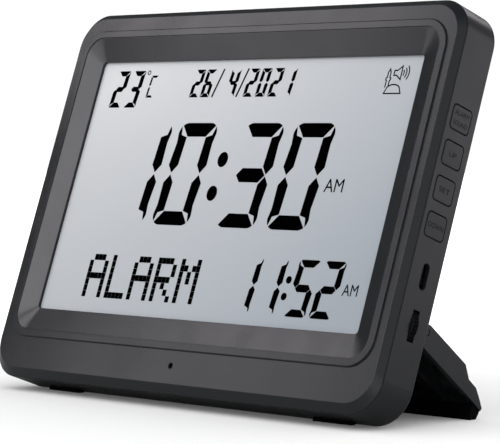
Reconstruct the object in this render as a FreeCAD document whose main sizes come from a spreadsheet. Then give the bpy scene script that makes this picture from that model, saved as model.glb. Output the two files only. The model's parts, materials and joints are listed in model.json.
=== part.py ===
import FreeCAD, Part
import math
import os
import Sketcher
from FreeCAD import Placement, Rotation, Vector

# Driving dimensions
# Lengths are in millimetres and angles in degrees. Every piece of the case is drawn in the
# frame of the upright case: X to the right, Y from the front face rearwards, Z up, with the
# origin at the middle of the display on the plane of the flat front face. The whole clock is
# then leaned back by lean_angle and set down on its rubber feet.

DIMENSIONS = {
    "body_width": 200.0,
    "body_top": 70.1,
    "body_bottom": 77.9,
    "body_depth": 18.45,
    "body_corner": 13.0,
    "back_round": 1.4,
    "lean_angle": 19.5,
    "wall": 1.8,
    "bezel_depth": 2.3,
    "parting_bevel": 0.22,
    "chamfer_side": 2.55,
    "chamfer_top": 2.5,
    "chamfer_bottom": 3.3,
    "chamfer_corner": 1.5,
    "ring_rise": 0.75,
    "ring_inner_width": 183.2,
    "ring_inner_height": 119.0,
    "ring_band": 2.8,
    "ring_corner": 10.5,
    "ring_step": 0.3,
    "ring_edge": 0.3,
    "window_width": 167.0,
    "window_height": 100.6,
    "window_corner": 1.6,
    "window_depth": 2.25,
    "lip_thickness": 1.2,
    "lip_width": 187.0,
    "lip_height": 123.0,
    "skirt_gap": 0.15,
    "skirt_thickness": 1.4,
    "skirt_length": 1.3,
    "sensor_height": 68.0,
    "sensor_hole": 1.1,
    "sensor_radius": 1.5,
    "sensor_gap": 0.15,
    "panel_width": 176.0,
    "panel_height": 107.0,
    "panel_thickness": 2.0,
    "guide_thickness": 1.5,
    "guide_short": 8.0,
    "holder_width": 180.0,
    "holder_height": 113.0,
    "holder_gap": 0.15,
    "strip_length": 140.0,
    "strip_width": 2.4,
    "strip_inset": 2.0,
    "board_gap": 0.15,
    "board_thickness": 1.2,
    "board_margin": 5.4,
    "board_left": 76.0,
    "board_low": 62.5,
    "board_high": 40.5,
    "board_bar": 30.0,
    "board_column": 42.0,
    "board_tab": 4.5,
    "board_tab_low": 70.8,
    "post_radius": 1.9,
    "post_bore": 0.85,
    "board_screw_shank": 0.83,
    "board_screw_head": 1.7,
    "board_screw_height": 1.1,
    "board_screw_length": 3.2,
    "low_post_x": 68.0,
    "low_post_height": 59.6,
    "high_post_margin": 7.6,
    "high_post_height": 37.6,
    "boss_radius": 3.0,
    "boss_end": 11.0,
    "boss_gap": 0.1,
    "case_screw_side": 12.0,
    "case_screw_top": 7.6,
    "case_screw_bottom": 10.9,
    "case_screw_shank": 1.3,
    "case_screw_bite": 0.02,
    "case_screw_clear": 0.2,
    "case_screw_head": 2.4,
    "case_screw_height": 1.7,
    "case_screw_length": 9.5,
    "counterbore_radius": 2.75,
    "counterbore_depth": 4.0,
    "key_pitch": 12.73,
    "key_first": 28.9,
    "key_height": 8.6,
    "key_depth": 10.0,
    "key_corner": 1.5,
    "key_middle": 9.53,
    "key_proud": 0.15,
    "key_edge": 0.3,
    "key_gap": 0.22,
    "key_travel": 0.5,
    "key_flange": 0.9,
    "key_lip_high": 1.2,
    "key_lip_deep": 0.6,
    "key_flange_gap": 0.1,
    "key_post": 1.2,
    "switch_margin": 6.6,
    "switch_length": 4.6,
    "switch_height": 3.4,
    "switch_width": 6.0,
    "stem_width": 2.8,
    "stem_depth": 1.5,
    "stem_margin": 4.4,
    "stem_root_margin": 8.1,
    "stem_gap": 0.1,
    "port_height": 26.9,
    "port_length": 9.3,
    "port_width": 3.5,
    "socket_length": 8.94,
    "socket_width": 3.2,
    "socket_depth": 7.3,
    "socket_wall": 0.3,
    "socket_setback": 0.5,
    "tongue_thickness": 0.7,
    "tongue_length": 6.7,
    "tongue_depth": 5.0,
    "wheel_height": 44.1,
    "wheel_radius": 8.0,
    "wheel_proud": 1.15,
    "wheel_thickness": 2.5,
    "wheel_front": 9.0,
    "wheel_slot_length": 11.0,
    "wheel_slot_width": 3.4,
    "wheel_slot_skin": 0.8,
    "wheel_recess_length": 14.6,
    "wheel_recess_width": 4.6,
    "wheel_bore": 1.55,
    "wheel_bearing": 0.05,
    "wheel_dish": 3.1,
    "wheel_dish_depth": 1.1,
    "wheel_notches": 36.0,
    "wheel_notch_width": 0.7,
    "wheel_notch_depth": 0.35,
    "pot_radius": 5.6,
    "pot_thickness": 0.55,
    "rivet_head": 2.6,
    "rivet_height": 0.7,
    "rivet_shank": 0.75,
    "rivet_gap": 0.05,
    "speaker_x": 52.0,
    "speaker_height": 31.0,
    "speaker_radius": 18.0,
    "speaker_depth": 5.6,
    "speaker_ring_gap": 0.25,
    "speaker_ring_wall": 1.4,
    "speaker_ring_height": 3.2,
    "magnet_radius": 8.5,
    "magnet_thickness": 2.2,
    "grille_radius": 14.5,
    "grille_slot": 1.6,
    "grille_pitch": 3.2,
    "grille_slots": 9.0,
    "cell_x": 4.0,
    "cell_height": 12.0,
    "cell_width": 58.0,
    "cell_length": 34.0,
    "cell_thickness": 5.4,
    "cell_corner": 2.5,
    "tape_thickness": 0.2,
    "cradle_gap": 0.4,
    "cradle_wall": 1.2,
    "cradle_height": 3.0,
    "leg_margin": 3.0,
    "leg_tilt": 18.6,
    "leg_height": 43.2,
    "leg_axis_depth": 2.8,
    "leg_side": 8.0,
    "leg_back_gap": 0.3,
    "leg_skin": 2.0,
    "leg_flank": 2.2,
    "leg_end": 39.5,
    "leg_step_one": 22.9,
    "leg_step_run": 4.7,
    "leg_step_drop": 3.1,
    "leg_step_two": 32.6,
    "leg_nose_drop": 5.7,
    "leg_slope_drop": 7.1,
    "leg_root": 4.0,
    "leg_bar": 4.2,
    "leg_ribs": 13.0,
    "leg_rib": 1.4,
    "lug_side": 12.0,
    "lug_width": 8.0,
    "lug_radius": 2.5,
    "lug_foot": 3.2,
    "lug_gap": 0.3,
    "leg_slot_depth": 4.2,
    "pin_radius": 1.0,
    "pin_length": 16.5,
    "pin_fit": 0.02,
    "pin_running": 0.06,
    "pin_inset": 0.05,
    "pad_inset": 0.5,
    "pad_flat": 2.4,
    "foot_x": 70.0,
    "foot_length": 18.0,
    "foot_front": 14.4,
    "foot_back": 16.6,
    "foot_seat": 0.6,
    "foot_drop": 0.2,
}

KEY_NAMES = ("alarm", "up", "set", "down")

doc = FreeCAD.newDocument("azan_clock")
sheet = doc.addObject("Spreadsheet::Sheet", "dims")
for row, (alias, value) in enumerate(DIMENSIONS.items(), start=1):
    sheet.set(f"A{row}", alias)
    sheet.set(f"B{row}", str(value))
    sheet.setAlias(f"B{row}", alias)
doc.recompute()

bodies = []


# Helpers for drawing


def size(expression):
    """The value of an expression on the sheet's names, in millimetres or degrees."""
    return float(sheet.evalExpression(expression.replace("dims.", "")))


def new_body(label):
    body = doc.addObject("PartDesign::Body", label)
    body.Label = label
    body.AllowCompound = True
    bodies.append(body)
    return body


def sketch_on(body, role, name, offset="0"):
    plane = next(item for item in body.Origin.OriginFeatures if item.Role == role)
    sketch = body.newObject("Sketcher::SketchObject", name)
    sketch.AttachmentSupport = (plane, [""])
    sketch.MapMode = "FlatFace"
    sketch.setExpression("AttachmentOffset.Base.z", offset)
    return sketch


def face_sketch(body, name, depth):
    """A sketch seen from the front, at a depth behind the front face."""
    return sketch_on(body, "XZ_Plane", name, f"-({depth})")


def side_sketch(body, name, offset="0"):
    """A sketch seen from the right, at a distance from the middle."""
    return sketch_on(body, "YZ_Plane", name, offset)


def locate(sketch, geometry, point, horizontal, vertical):
    """Ties one point of a sketch to the sketch's origin."""
    for kind, expression in (("DistanceX", horizontal), ("DistanceY", vertical)):
        if expression is None:
            continue
        index = sketch.addConstraint(
            Sketcher.Constraint(kind, -1, 1, geometry, point, size(expression))
        )
        sketch.setExpression(f"Constraints[{index}]", expression)


def radius_of(sketch, geometry, expression):
    index = sketch.addConstraint(Sketcher.Constraint("Radius", geometry, size(expression)))
    sketch.setExpression(f"Constraints[{index}]", expression)


def rounded_rectangle(sketch, across, along, width, height, radius):
    """A rectangle with equal round corners about the point (across, along)."""
    left, right = f"({across}) - ({width}) / 2", f"({across}) + ({width}) / 2"
    low, high = f"({along}) - ({height}) / 2", f"({along}) + ({height}) / 2"
    x0, x1, y0, y1, r = size(left), size(right), size(low), size(high), size(radius)
    first = sketch.GeometryCount
    runs = (
        ((x0 + r, y0), (x1 - r, y0)),
        ((x1, y0 + r), (x1, y1 - r)),
        ((x1 - r, y1), (x0 + r, y1)),
        ((x0, y1 - r), (x0, y0 + r)),
    )
    for start, end in runs:
        sketch.addGeometry(Part.LineSegment(Vector(*start, 0), Vector(*end, 0)), False)
    centres = ((x1 - r, y0 + r), (x1 - r, y1 - r), (x0 + r, y1 - r), (x0 + r, y0 + r))
    for turn, centre in enumerate(centres):
        circle = Part.Circle(Vector(*centre, 0), Vector(0, 0, 1), r)
        start = math.radians(-90 + 90 * turn)
        sketch.addGeometry(Part.ArcOfCircle(circle, start, start + math.pi / 2), False)
    for corner in range(4):
        line, arc, following = first + corner, first + 4 + corner, first + (corner + 1) % 4
        sketch.addConstraint(Sketcher.Constraint("Tangent", line, 2, arc, 1))
        sketch.addConstraint(Sketcher.Constraint("Tangent", arc, 2, following, 1))
        if corner:
            sketch.addConstraint(Sketcher.Constraint("Equal", first + 4, arc))
    for line, kind in enumerate(("Horizontal", "Vertical", "Horizontal", "Vertical")):
        sketch.addConstraint(Sketcher.Constraint(kind, first + line))
    locate(sketch, first, 1, None, low)
    locate(sketch, first + 1, 1, right, None)
    locate(sketch, first + 2, 1, None, high)
    locate(sketch, first + 3, 1, left, None)
    radius_of(sketch, first + 4, radius)


def circle_at(sketch, across, along, radius):
    centre = Vector(size(across), size(along), 0)
    index = sketch.addGeometry(Part.Circle(centre, Vector(0, 0, 1), size(radius)), False)
    locate(sketch, index, 3, across, along)
    radius_of(sketch, index, radius)


def outline(sketch, points):
    """A closed run of straight lines through points given as pairs of expressions."""
    places = [Vector(size(across), size(along), 0) for across, along in points]
    first = sketch.GeometryCount
    count = len(points)
    for index, place in enumerate(places):
        following = places[(index + 1) % count]
        sketch.addGeometry(Part.LineSegment(place, following), False)
    for index, (across, along) in enumerate(points):
        line, following = first + index, first + (index + 1) % count
        sketch.addConstraint(Sketcher.Constraint("Coincident", line, 2, following, 1))
        locate(sketch, line, 1, across, along)


def pad(body, sketch, length, reverse=False, symmetric=False):
    feature = body.newObject("PartDesign::Pad", f"{sketch.Name}_pad")
    feature.Profile = sketch
    feature.setExpression("Length", length)
    feature.Reversed = reverse
    if symmetric:
        feature.SideType = "Symmetric"
    return feature


def pocket(body, sketch, length, reverse=False, symmetric=False):
    """A cut, which has to take material away."""
    doc.recompute()
    before = body.Shape.Volume
    feature = body.newObject("PartDesign::Pocket", f"{sketch.Name}_pocket")
    feature.Profile = sketch
    feature.setExpression("Length", length)
    feature.Reversed = reverse
    if symmetric:
        feature.SideType = "Symmetric"
    doc.recompute()
    if body.Shape.Volume >= before - 1e-6:
        raise RuntimeError(f"{feature.Name} cuts nothing")
    return feature


def round_edges(body, name, radius, chosen, bevel=False):
    """Rounds or bevels the edges of a body that a test picks."""
    doc.recompute()
    base = body.Tip
    names = [f"Edge{number}" for number, edge in enumerate(base.Shape.Edges, 1) if chosen(edge)]
    if not names:
        raise RuntimeError(f"{name} finds no edge")
    kind = "PartDesign::Chamfer" if bevel else "PartDesign::Fillet"
    feature = body.newObject(kind, name)
    feature.Base = (base, names)
    feature.setExpression("Size" if bevel else "Radius", radius)
    return feature


def lies_in(axis, place, tolerance=0.01):
    """A test for edges that lie in the plane where axis (0, 1 or 2) equals place."""

    def test(edge):
        box = edge.BoundBox
        low = (box.XMin, box.YMin, box.ZMin)[axis]
        high = (box.XMax, box.YMax, box.ZMax)[axis]
        return abs(low - place) < tolerance and abs(high - place) < tolerance

    return test


def plate(label, across, height, width, length, corner, depth, thickness):
    """A flat piece with round corners that stands parallel to the front face."""
    body = new_body(label)
    sketch = face_sketch(body, f"{label}_outline", depth)
    rounded_rectangle(sketch, across, height, width, length, corner)
    pad(body, sketch, thickness, reverse=True)
    return body


def disc(label, across, height, radius, depth, thickness):
    """A round flat piece that stands parallel to the front face."""
    body = new_body(label)
    sketch = face_sketch(body, f"{label}_outline", depth)
    circle_at(sketch, across, height, radius)
    pad(body, sketch, thickness, reverse=True)
    return body


# Places that several pieces share

BODY_HEIGHT = "(dims.body_top + dims.body_bottom)"
BODY_MIDDLE = "((dims.body_top - dims.body_bottom) / 2)"
FLOOR_DEPTH = "(dims.body_depth - dims.wall)"
LIP_BACK = "(dims.window_depth + dims.lip_thickness)"
PANEL_BACK = f"({LIP_BACK} + dims.panel_thickness)"
GUIDE_BACK = f"({PANEL_BACK} + dims.guide_thickness)"
BOARD_FRONT = f"({GUIDE_BACK} + dims.board_gap)"
BOARD_BACK = f"({BOARD_FRONT} + dims.board_thickness)"
INNER_SIDE = "(dims.body_width / 2 - dims.wall)"
WHEEL_X = "(dims.body_width / 2 + dims.wheel_proud - dims.wheel_radius)"
WHEEL_MIDDLE = "(dims.wheel_front + dims.wheel_thickness / 2)"
AXIS_DEPTH = "(dims.body_depth + dims.leg_axis_depth + dims.leg_back_gap)"
PORT_MIDDLE = f"({BOARD_BACK} + dims.socket_width / 2)"
CASE_SCREWS = [
    (f"{side}(dims.body_width / 2 - dims.case_screw_side)", height)
    for side in ("", "-")
    for height in (
        "(dims.body_top - dims.case_screw_top)",
        "(dims.case_screw_bottom - dims.body_bottom)",
    )
]
BOARD_SCREWS = [
    ("dims.low_post_x", "-dims.low_post_height"),
    ("-dims.low_post_x", "-dims.low_post_height"),
    ("(dims.body_width / 2 - dims.high_post_margin)", "dims.high_post_height"),
]


def body_outline(sketch, inset="0"):
    """The outline of the case, drawn in from its edge by inset."""
    rounded_rectangle(
        sketch,
        "0",
        BODY_MIDDLE,
        f"dims.body_width - 2 * ({inset})",
        f"{BODY_HEIGHT} - 2 * ({inset})",
        f"dims.body_corner - ({inset})",
    )


def ring_outline(sketch, outset="0"):
    """The inner edge of the raised ring round the window, drawn out by outset."""
    rounded_rectangle(
        sketch,
        "0",
        "0",
        f"dims.ring_inner_width + 2 * ({outset})",
        f"dims.ring_inner_height + 2 * ({outset})",
        f"dims.ring_corner - dims.ring_band + ({outset})",
    )


# Front bezel: a chamfered face with a raised ring and a sloping bevel down to the display


def make_front_bezel():
    body = new_body("front_bezel")
    face = face_sketch(body, "bezel_face", "0")
    rounded_rectangle(
        face,
        "0",
        f"{BODY_MIDDLE} + (dims.chamfer_bottom - dims.chamfer_top) / 2",
        "dims.body_width - 2 * dims.chamfer_side",
        f"{BODY_HEIGHT} - dims.chamfer_top - dims.chamfer_bottom",
        "dims.body_corner - dims.chamfer_corner",
    )
    rim = face_sketch(body, "bezel_rim", "dims.bezel_depth")
    body_outline(rim)
    loft = body.newObject("PartDesign::AdditiveLoft", "bezel_chamfer")
    loft.Profile = face
    loft.Sections = [rim]
    loft.Ruled = True

    ring = face_sketch(body, "bezel_ring", "0")
    ring_outline(ring, "dims.ring_band")
    pad(body, ring, "dims.ring_rise")
    crest = lies_in(1, -size("dims.ring_rise"))
    round_edges(body, "ring_round", "dims.ring_edge", crest, bevel=True)

    lip = face_sketch(body, "bezel_lip", "dims.bezel_depth")
    rounded_rectangle(lip, "0", "0", "dims.lip_width", "dims.lip_height", "dims.window_corner")
    pad(body, lip, f"{LIP_BACK} - dims.bezel_depth", reverse=True)

    step = face_sketch(body, "ring_inner_step", "-dims.ring_rise")
    ring_outline(step)
    pocket(body, step, "dims.ring_step")
    mouth = face_sketch(body, "bevel_mouth", "dims.ring_step - dims.ring_rise")
    ring_outline(mouth, "-dims.ring_edge")
    sill = face_sketch(body, "bevel_sill", "dims.window_depth")
    rounded_rectangle(
        sill, "0", "0", "dims.window_width", "dims.window_height", "dims.window_corner"
    )
    bevel = body.newObject("PartDesign::SubtractiveLoft", "window_bevel")
    bevel.Profile = mouth
    bevel.Sections = [sill]
    bevel.Ruled = True
    window = face_sketch(body, "window", "dims.window_depth")
    rounded_rectangle(
        window, "0", "0", "dims.window_width", "dims.window_height", "dims.window_corner"
    )
    pocket(body, window, "2 * dims.lip_thickness")

    skirt = face_sketch(body, "bezel_skirt", "dims.bezel_depth")
    body_outline(skirt, "dims.wall + dims.skirt_gap")
    body_outline(skirt, "dims.wall + dims.skirt_gap + dims.skirt_thickness")
    pad(body, skirt, "dims.skirt_length", reverse=True)

    bosses = face_sketch(body, "case_bosses", "dims.bezel_depth")
    for across, height in CASE_SCREWS:
        circle_at(bosses, across, height, "dims.boss_radius")
    pad(body, bosses, "dims.boss_end - dims.bezel_depth", reverse=True)
    bores = face_sketch(body, "case_boss_bores", "dims.boss_end")
    for across, height in CASE_SCREWS:
        circle_at(bores, across, height, "dims.case_screw_shank + dims.case_screw_bite")
    pocket(body, bores, "dims.boss_end - dims.bezel_depth", reverse=True)

    posts = face_sketch(body, "board_posts", "dims.bezel_depth")
    for across, height in BOARD_SCREWS:
        circle_at(posts, across, height, "dims.post_radius")
    pad(body, posts, f"{BOARD_FRONT} - dims.bezel_depth", reverse=True)
    holes = face_sketch(body, "board_post_bores", BOARD_FRONT)
    for across, height in BOARD_SCREWS:
        circle_at(holes, across, height, "dims.post_bore")
    pocket(body, holes, "dims.board_screw_length", reverse=True)

    sensor = face_sketch(body, "sensor_opening", "0")
    circle_at(sensor, "0", "-dims.sensor_height", "dims.sensor_hole")
    pocket(body, sensor, "2 * dims.bezel_depth")
    return body


# Rear housing: an open tray with the side openings, the screw posts and the hinge lugs


def make_rear_housing():
    body = new_body("rear_housing")
    shell = face_sketch(body, "housing_outline", "dims.bezel_depth")
    body_outline(shell)
    pad(body, shell, "dims.body_depth - dims.bezel_depth", reverse=True)
    round_edges(body, "back_edge", "dims.back_round", lies_in(1, size("dims.body_depth")))
    round_edges(
        body, "parting_edge", "dims.parting_bevel", lies_in(1, size("dims.bezel_depth")), True
    )
    cavity = face_sketch(body, "housing_cavity", "dims.bezel_depth")
    body_outline(cavity, "dims.wall")
    pocket(body, cavity, f"{FLOOR_DEPTH} - dims.bezel_depth")

    posts = face_sketch(body, "housing_posts", "dims.boss_end + dims.boss_gap")
    for across, height in CASE_SCREWS:
        circle_at(posts, across, height, "dims.counterbore_radius + 1")
    pad(
        body,
        posts,
        f"{FLOOR_DEPTH} - dims.boss_end - dims.boss_gap + dims.wall / 2",
        reverse=True,
    )
    heads = face_sketch(body, "screw_counterbores", "dims.body_depth")
    for across, height in CASE_SCREWS:
        circle_at(heads, across, height, "dims.counterbore_radius")
    pocket(body, heads, "dims.counterbore_depth", reverse=True)
    shanks = face_sketch(body, "screw_clearance", "dims.body_depth")
    for across, height in CASE_SCREWS:
        circle_at(shanks, across, height, "dims.case_screw_shank + dims.case_screw_clear")
    pocket(body, shanks, "dims.body_depth - dims.boss_end", reverse=True)

    make_side_openings(body)
    make_speaker_grille(body)

    cradle = face_sketch(body, "cell_cradle", f"{FLOOR_DEPTH} - dims.cradle_height")
    for extra in ("0", "dims.cradle_wall"):
        rounded_rectangle(
            cradle,
            "dims.cell_x",
            "dims.cell_height",
            f"dims.cell_width + 2 * (dims.cradle_gap + {extra})",
            f"dims.cell_length + 2 * (dims.cradle_gap + {extra})",
            f"dims.cell_corner + dims.cradle_gap + {extra}",
        )
    pad(body, cradle, "dims.cradle_height + dims.wall / 2", reverse=True)

    make_hinge_lugs(body)

    for side in ("right", "left"):
        sign = "" if side == "right" else "-"
        seat = sketch_on(body, "XY_Plane", f"foot_seat_{side}", "-dims.body_bottom")
        rounded_rectangle(
            seat,
            f"{sign}dims.foot_x",
            "(dims.foot_front + dims.foot_back) / 2",
            "dims.foot_length",
            "dims.foot_back - dims.foot_front",
            "0.1",
        )
        pocket(body, seat, "dims.foot_seat", reverse=True)
    return body


def make_side_openings(body):
    """The key holes, the charging port and the slot for the volume wheel."""
    keys = side_sketch(body, "key_openings", "dims.body_width / 2")
    for number in range(len(KEY_NAMES)):
        rounded_rectangle(
            keys,
            "dims.key_middle",
            f"dims.key_first - {number} * dims.key_pitch",
            "dims.key_depth + 2 * dims.key_gap",
            "dims.key_height + 2 * dims.key_gap",
            "dims.key_corner + dims.key_gap",
        )
    pocket(body, keys, "2 * dims.wall")

    port = side_sketch(body, "port_opening", "dims.body_width / 2")
    rounded_rectangle(
        port,
        PORT_MIDDLE,
        "-dims.port_height",
        "dims.port_width",
        "dims.port_length",
        "0.49 * dims.port_width",
    )
    pocket(body, port, "2 * dims.wall")

    slot = side_sketch(body, "wheel_slot", "dims.body_width / 2")
    rounded_rectangle(
        slot,
        WHEEL_MIDDLE,
        "-dims.wheel_height",
        "dims.wheel_slot_width",
        "dims.wheel_slot_length",
        "0.2",
    )
    pocket(body, slot, "2 * dims.wall")
    recess = side_sketch(body, "wheel_recess", "dims.body_width / 2 - dims.wheel_slot_skin")
    rounded_rectangle(
        recess,
        WHEEL_MIDDLE,
        "-dims.wheel_height",
        "dims.wheel_recess_width",
        "dims.wheel_recess_length",
        "0.5",
    )
    pocket(body, recess, "2 * dims.wall")


def make_speaker_grille(body):
    """Slots that fill a circle behind the speaker, and the ring that holds it."""
    grille = face_sketch(body, "speaker_grille", "dims.body_depth")
    count = int(size("dims.grille_slots"))
    for number in range(count):
        offset = f"({number} - (dims.grille_slots - 1) / 2) * dims.grille_pitch"
        rounded_rectangle(
            grille,
            "-dims.speaker_x",
            f"dims.speaker_height + {offset}",
            f"2 * sqrt(dims.grille_radius ^ 2 - ({offset}) ^ 2)",
            "dims.grille_slot",
            "0.49 * dims.grille_slot",
        )
    pocket(body, grille, "2 * dims.wall", reverse=True)
    ring = face_sketch(body, "speaker_ring", f"{FLOOR_DEPTH} - dims.speaker_ring_height")
    for wall in ("0", "dims.speaker_ring_wall"):
        circle_at(
            ring,
            "-dims.speaker_x",
            "dims.speaker_height",
            f"dims.speaker_radius + dims.speaker_ring_gap + {wall}",
        )
    pad(body, ring, "dims.speaker_ring_height + dims.wall / 2", reverse=True)


def make_hinge_lugs(body):
    """Two lugs on the back that carry the pins of the leg."""
    for side in ("right", "left"):
        sign = "" if side == "right" else "-"
        middle = f"{sign}(dims.body_width / 2 - dims.lug_side)"
        lug = side_sketch(body, f"lug_{side}", middle)
        outline(
            lug,
            [
                (FLOOR_DEPTH, "-dims.leg_height - dims.lug_foot"),
                (AXIS_DEPTH, "-dims.leg_height - dims.lug_radius"),
                (AXIS_DEPTH, "-dims.leg_height + dims.lug_radius"),
                (FLOOR_DEPTH, "-dims.leg_height + dims.lug_foot"),
            ],
        )
        pad(body, lug, "dims.lug_width", symmetric=True)
        eye = side_sketch(body, f"lug_eye_{side}", middle)
        circle_at(eye, AXIS_DEPTH, "-dims.leg_height", "dims.lug_radius")
        pad(body, eye, "dims.lug_width", symmetric=True)
        bore = side_sketch(body, f"lug_bore_{side}", middle)
        circle_at(bore, AXIS_DEPTH, "-dims.leg_height", "dims.pin_radius + dims.pin_fit")
        pocket(body, bore, "2 * dims.lug_width", symmetric=True)


# Display: glass, light guide, holder and contact strip


def make_display():
    plate(
        "display_glass",
        "0",
        "0",
        "dims.panel_width",
        "dims.panel_height",
        "dims.window_corner",
        LIP_BACK,
        "dims.panel_thickness",
    )
    plate(
        "light_guide",
        "0",
        "dims.guide_short / 2",
        "dims.panel_width",
        "dims.panel_height - dims.guide_short",
        "dims.window_corner",
        PANEL_BACK,
        "dims.guide_thickness",
    )
    holder = new_body("display_holder")
    frame = face_sketch(holder, "holder_frame", LIP_BACK)
    rounded_rectangle(frame, "0", "0", "dims.holder_width", "dims.holder_height", "2.5")
    rounded_rectangle(
        frame,
        "0",
        "0",
        "dims.panel_width + 2 * dims.holder_gap",
        "dims.panel_height + 2 * dims.holder_gap",
        "dims.window_corner",
    )
    pad(holder, frame, f"{GUIDE_BACK} - {LIP_BACK}", reverse=True)
    plate(
        "contact_strip",
        "0",
        "dims.strip_inset + dims.strip_width / 2 - dims.panel_height / 2",
        "dims.strip_length",
        "dims.strip_width",
        "0.4",
        PANEL_BACK,
        f"{BOARD_FRONT} - {PANEL_BACK}",
    )


# Main board and what is soldered to it


def make_main_board():
    body = new_body("main_board")
    board = face_sketch(body, "board_outline", BOARD_FRONT)
    outline(
        board,
        [
            ("-dims.board_left", "-dims.board_low"),
            ("-dims.board_tab", "-dims.board_low"),
            ("-dims.board_tab", "-dims.board_tab_low"),
            ("dims.board_tab", "-dims.board_tab_low"),
            ("dims.board_tab", "-dims.board_low"),
            ("dims.board_column * 2 - dims.board_tab", "-dims.board_low"),
            ("(dims.body_width / 2 - dims.board_margin)", "-dims.board_low + 8"),
            ("(dims.body_width / 2 - dims.board_margin)", "dims.board_high"),
            ("dims.board_column", "dims.board_high"),
            ("dims.board_column", "-dims.board_bar"),
            ("-dims.board_left", "-dims.board_bar"),
        ],
    )
    pad(body, board, "dims.board_thickness", reverse=True)
    holes = face_sketch(body, "board_holes", BOARD_FRONT)
    for across, height in BOARD_SCREWS:
        circle_at(holes, across, height, "dims.board_screw_shank + 0.15")
    pocket(body, holes, "2 * dims.board_thickness")

    screws = new_body("board_screws")
    heads = face_sketch(screws, "board_screw_heads", BOARD_BACK)
    shanks = face_sketch(screws, "board_screw_shanks", BOARD_BACK)
    for across, height in BOARD_SCREWS:
        circle_at(heads, across, height, "dims.board_screw_head")
        circle_at(shanks, across, height, "dims.board_screw_shank")
    pad(screws, heads, "dims.board_screw_height", reverse=True)
    pad(screws, shanks, "dims.board_screw_length + dims.board_thickness - 0.2")

    chips = (
        ("clock_chip", "-20", "-44", "15", "13", "6", "1.6"),
        ("sound_chip", "14", "-44", "10.3", "7.5", "0.6", "2.4"),
        ("charge_chip", "66", "-30", "5", "4", "0.5", "1.5"),
        ("memory_chip", "66", "-8", "6.2", "5.2", "0.5", "1.7"),
        ("cell_socket", "48", "-37", "6", "7.5", "0.6", "3.6"),
        ("speaker_socket", "-60", "-37", "7.5", "6", "0.6", "3.6"),
    )
    for label, across, height, width, length, corner, thickness in chips:
        chip = plate(label, across, height, width, length, corner, BOARD_BACK, thickness)
        top = lies_in(1, size(f"{BOARD_BACK} + {thickness}"))
        round_edges(chip, f"{label}_edge", "0.25", top, bevel=True)

    crystal = new_body("quartz_crystal")
    can = sketch_on(crystal, "YZ_Plane", "crystal_can", "-6")
    circle_at(can, f"{BOARD_BACK} + 1.55", "-52", "1.5")
    pad(crystal, can, "8")
    round_edges(crystal, "crystal_edge", "0.3", lies_in(0, 2), bevel=True)

    disc("reservoir_capacitor", "34", "-50", "3.2", BOARD_BACK, "5.4")
    plate("backlight_lamp", "78", "20", "3.5", "2.8", "0.3", BOARD_BACK, "1.2")

    bead = new_body("temperature_sensor")
    drop = face_sketch(bead, "bead_section", BOARD_BACK)
    circle_at(drop, "-70", "-57", "1.4")
    pad(bead, drop, "3.2", reverse=True)
    round_edges(bead, "bead_round", "0.6", lies_in(1, size(f"{BOARD_BACK} + 3.2")), bevel=True)

    eye = new_body("light_sensor")
    lens = face_sketch(eye, "eye_section", "dims.bezel_depth + dims.sensor_gap")
    circle_at(lens, "0", "-dims.sensor_height", "dims.sensor_radius")
    pad(eye, lens, f"{BOARD_FRONT} - dims.bezel_depth - dims.sensor_gap", reverse=True)
    front = size("dims.bezel_depth + dims.sensor_gap")
    round_edges(eye, "eye_dome", "0.4 * dims.sensor_radius", lies_in(1, front), bevel=True)


# Charging socket: a shell with a tongue inside


def make_socket():
    mouth = "dims.body_width / 2 - dims.wall - dims.socket_setback"
    shell = new_body("port_shell")
    outer = side_sketch(shell, "port_shell_outline", mouth)
    rounded_rectangle(
        outer,
        PORT_MIDDLE,
        "-dims.port_height",
        "dims.socket_width",
        "dims.socket_length",
        "0.49 * dims.socket_width",
    )
    pad(shell, outer, "dims.socket_depth", reverse=True)
    inner = side_sketch(shell, "port_shell_cavity", mouth)
    rounded_rectangle(
        inner,
        PORT_MIDDLE,
        "-dims.port_height",
        "dims.socket_width - 2 * dims.socket_wall",
        "dims.socket_length - 2 * dims.socket_wall",
        "0.49 * (dims.socket_width - 2 * dims.socket_wall)",
    )
    pocket(shell, inner, "dims.socket_depth - dims.socket_wall")
    tongue = new_body("port_tongue")
    blade = side_sketch(
        tongue, "tongue_section", f"{mouth} - dims.socket_depth + dims.socket_wall"
    )
    rounded_rectangle(
        blade,
        PORT_MIDDLE,
        "-dims.port_height",
        "dims.tongue_thickness",
        "dims.tongue_length",
        "0.2",
    )
    pad(tongue, blade, "dims.tongue_depth")


# Volume control: a knurled wheel that turns on a post


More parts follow.
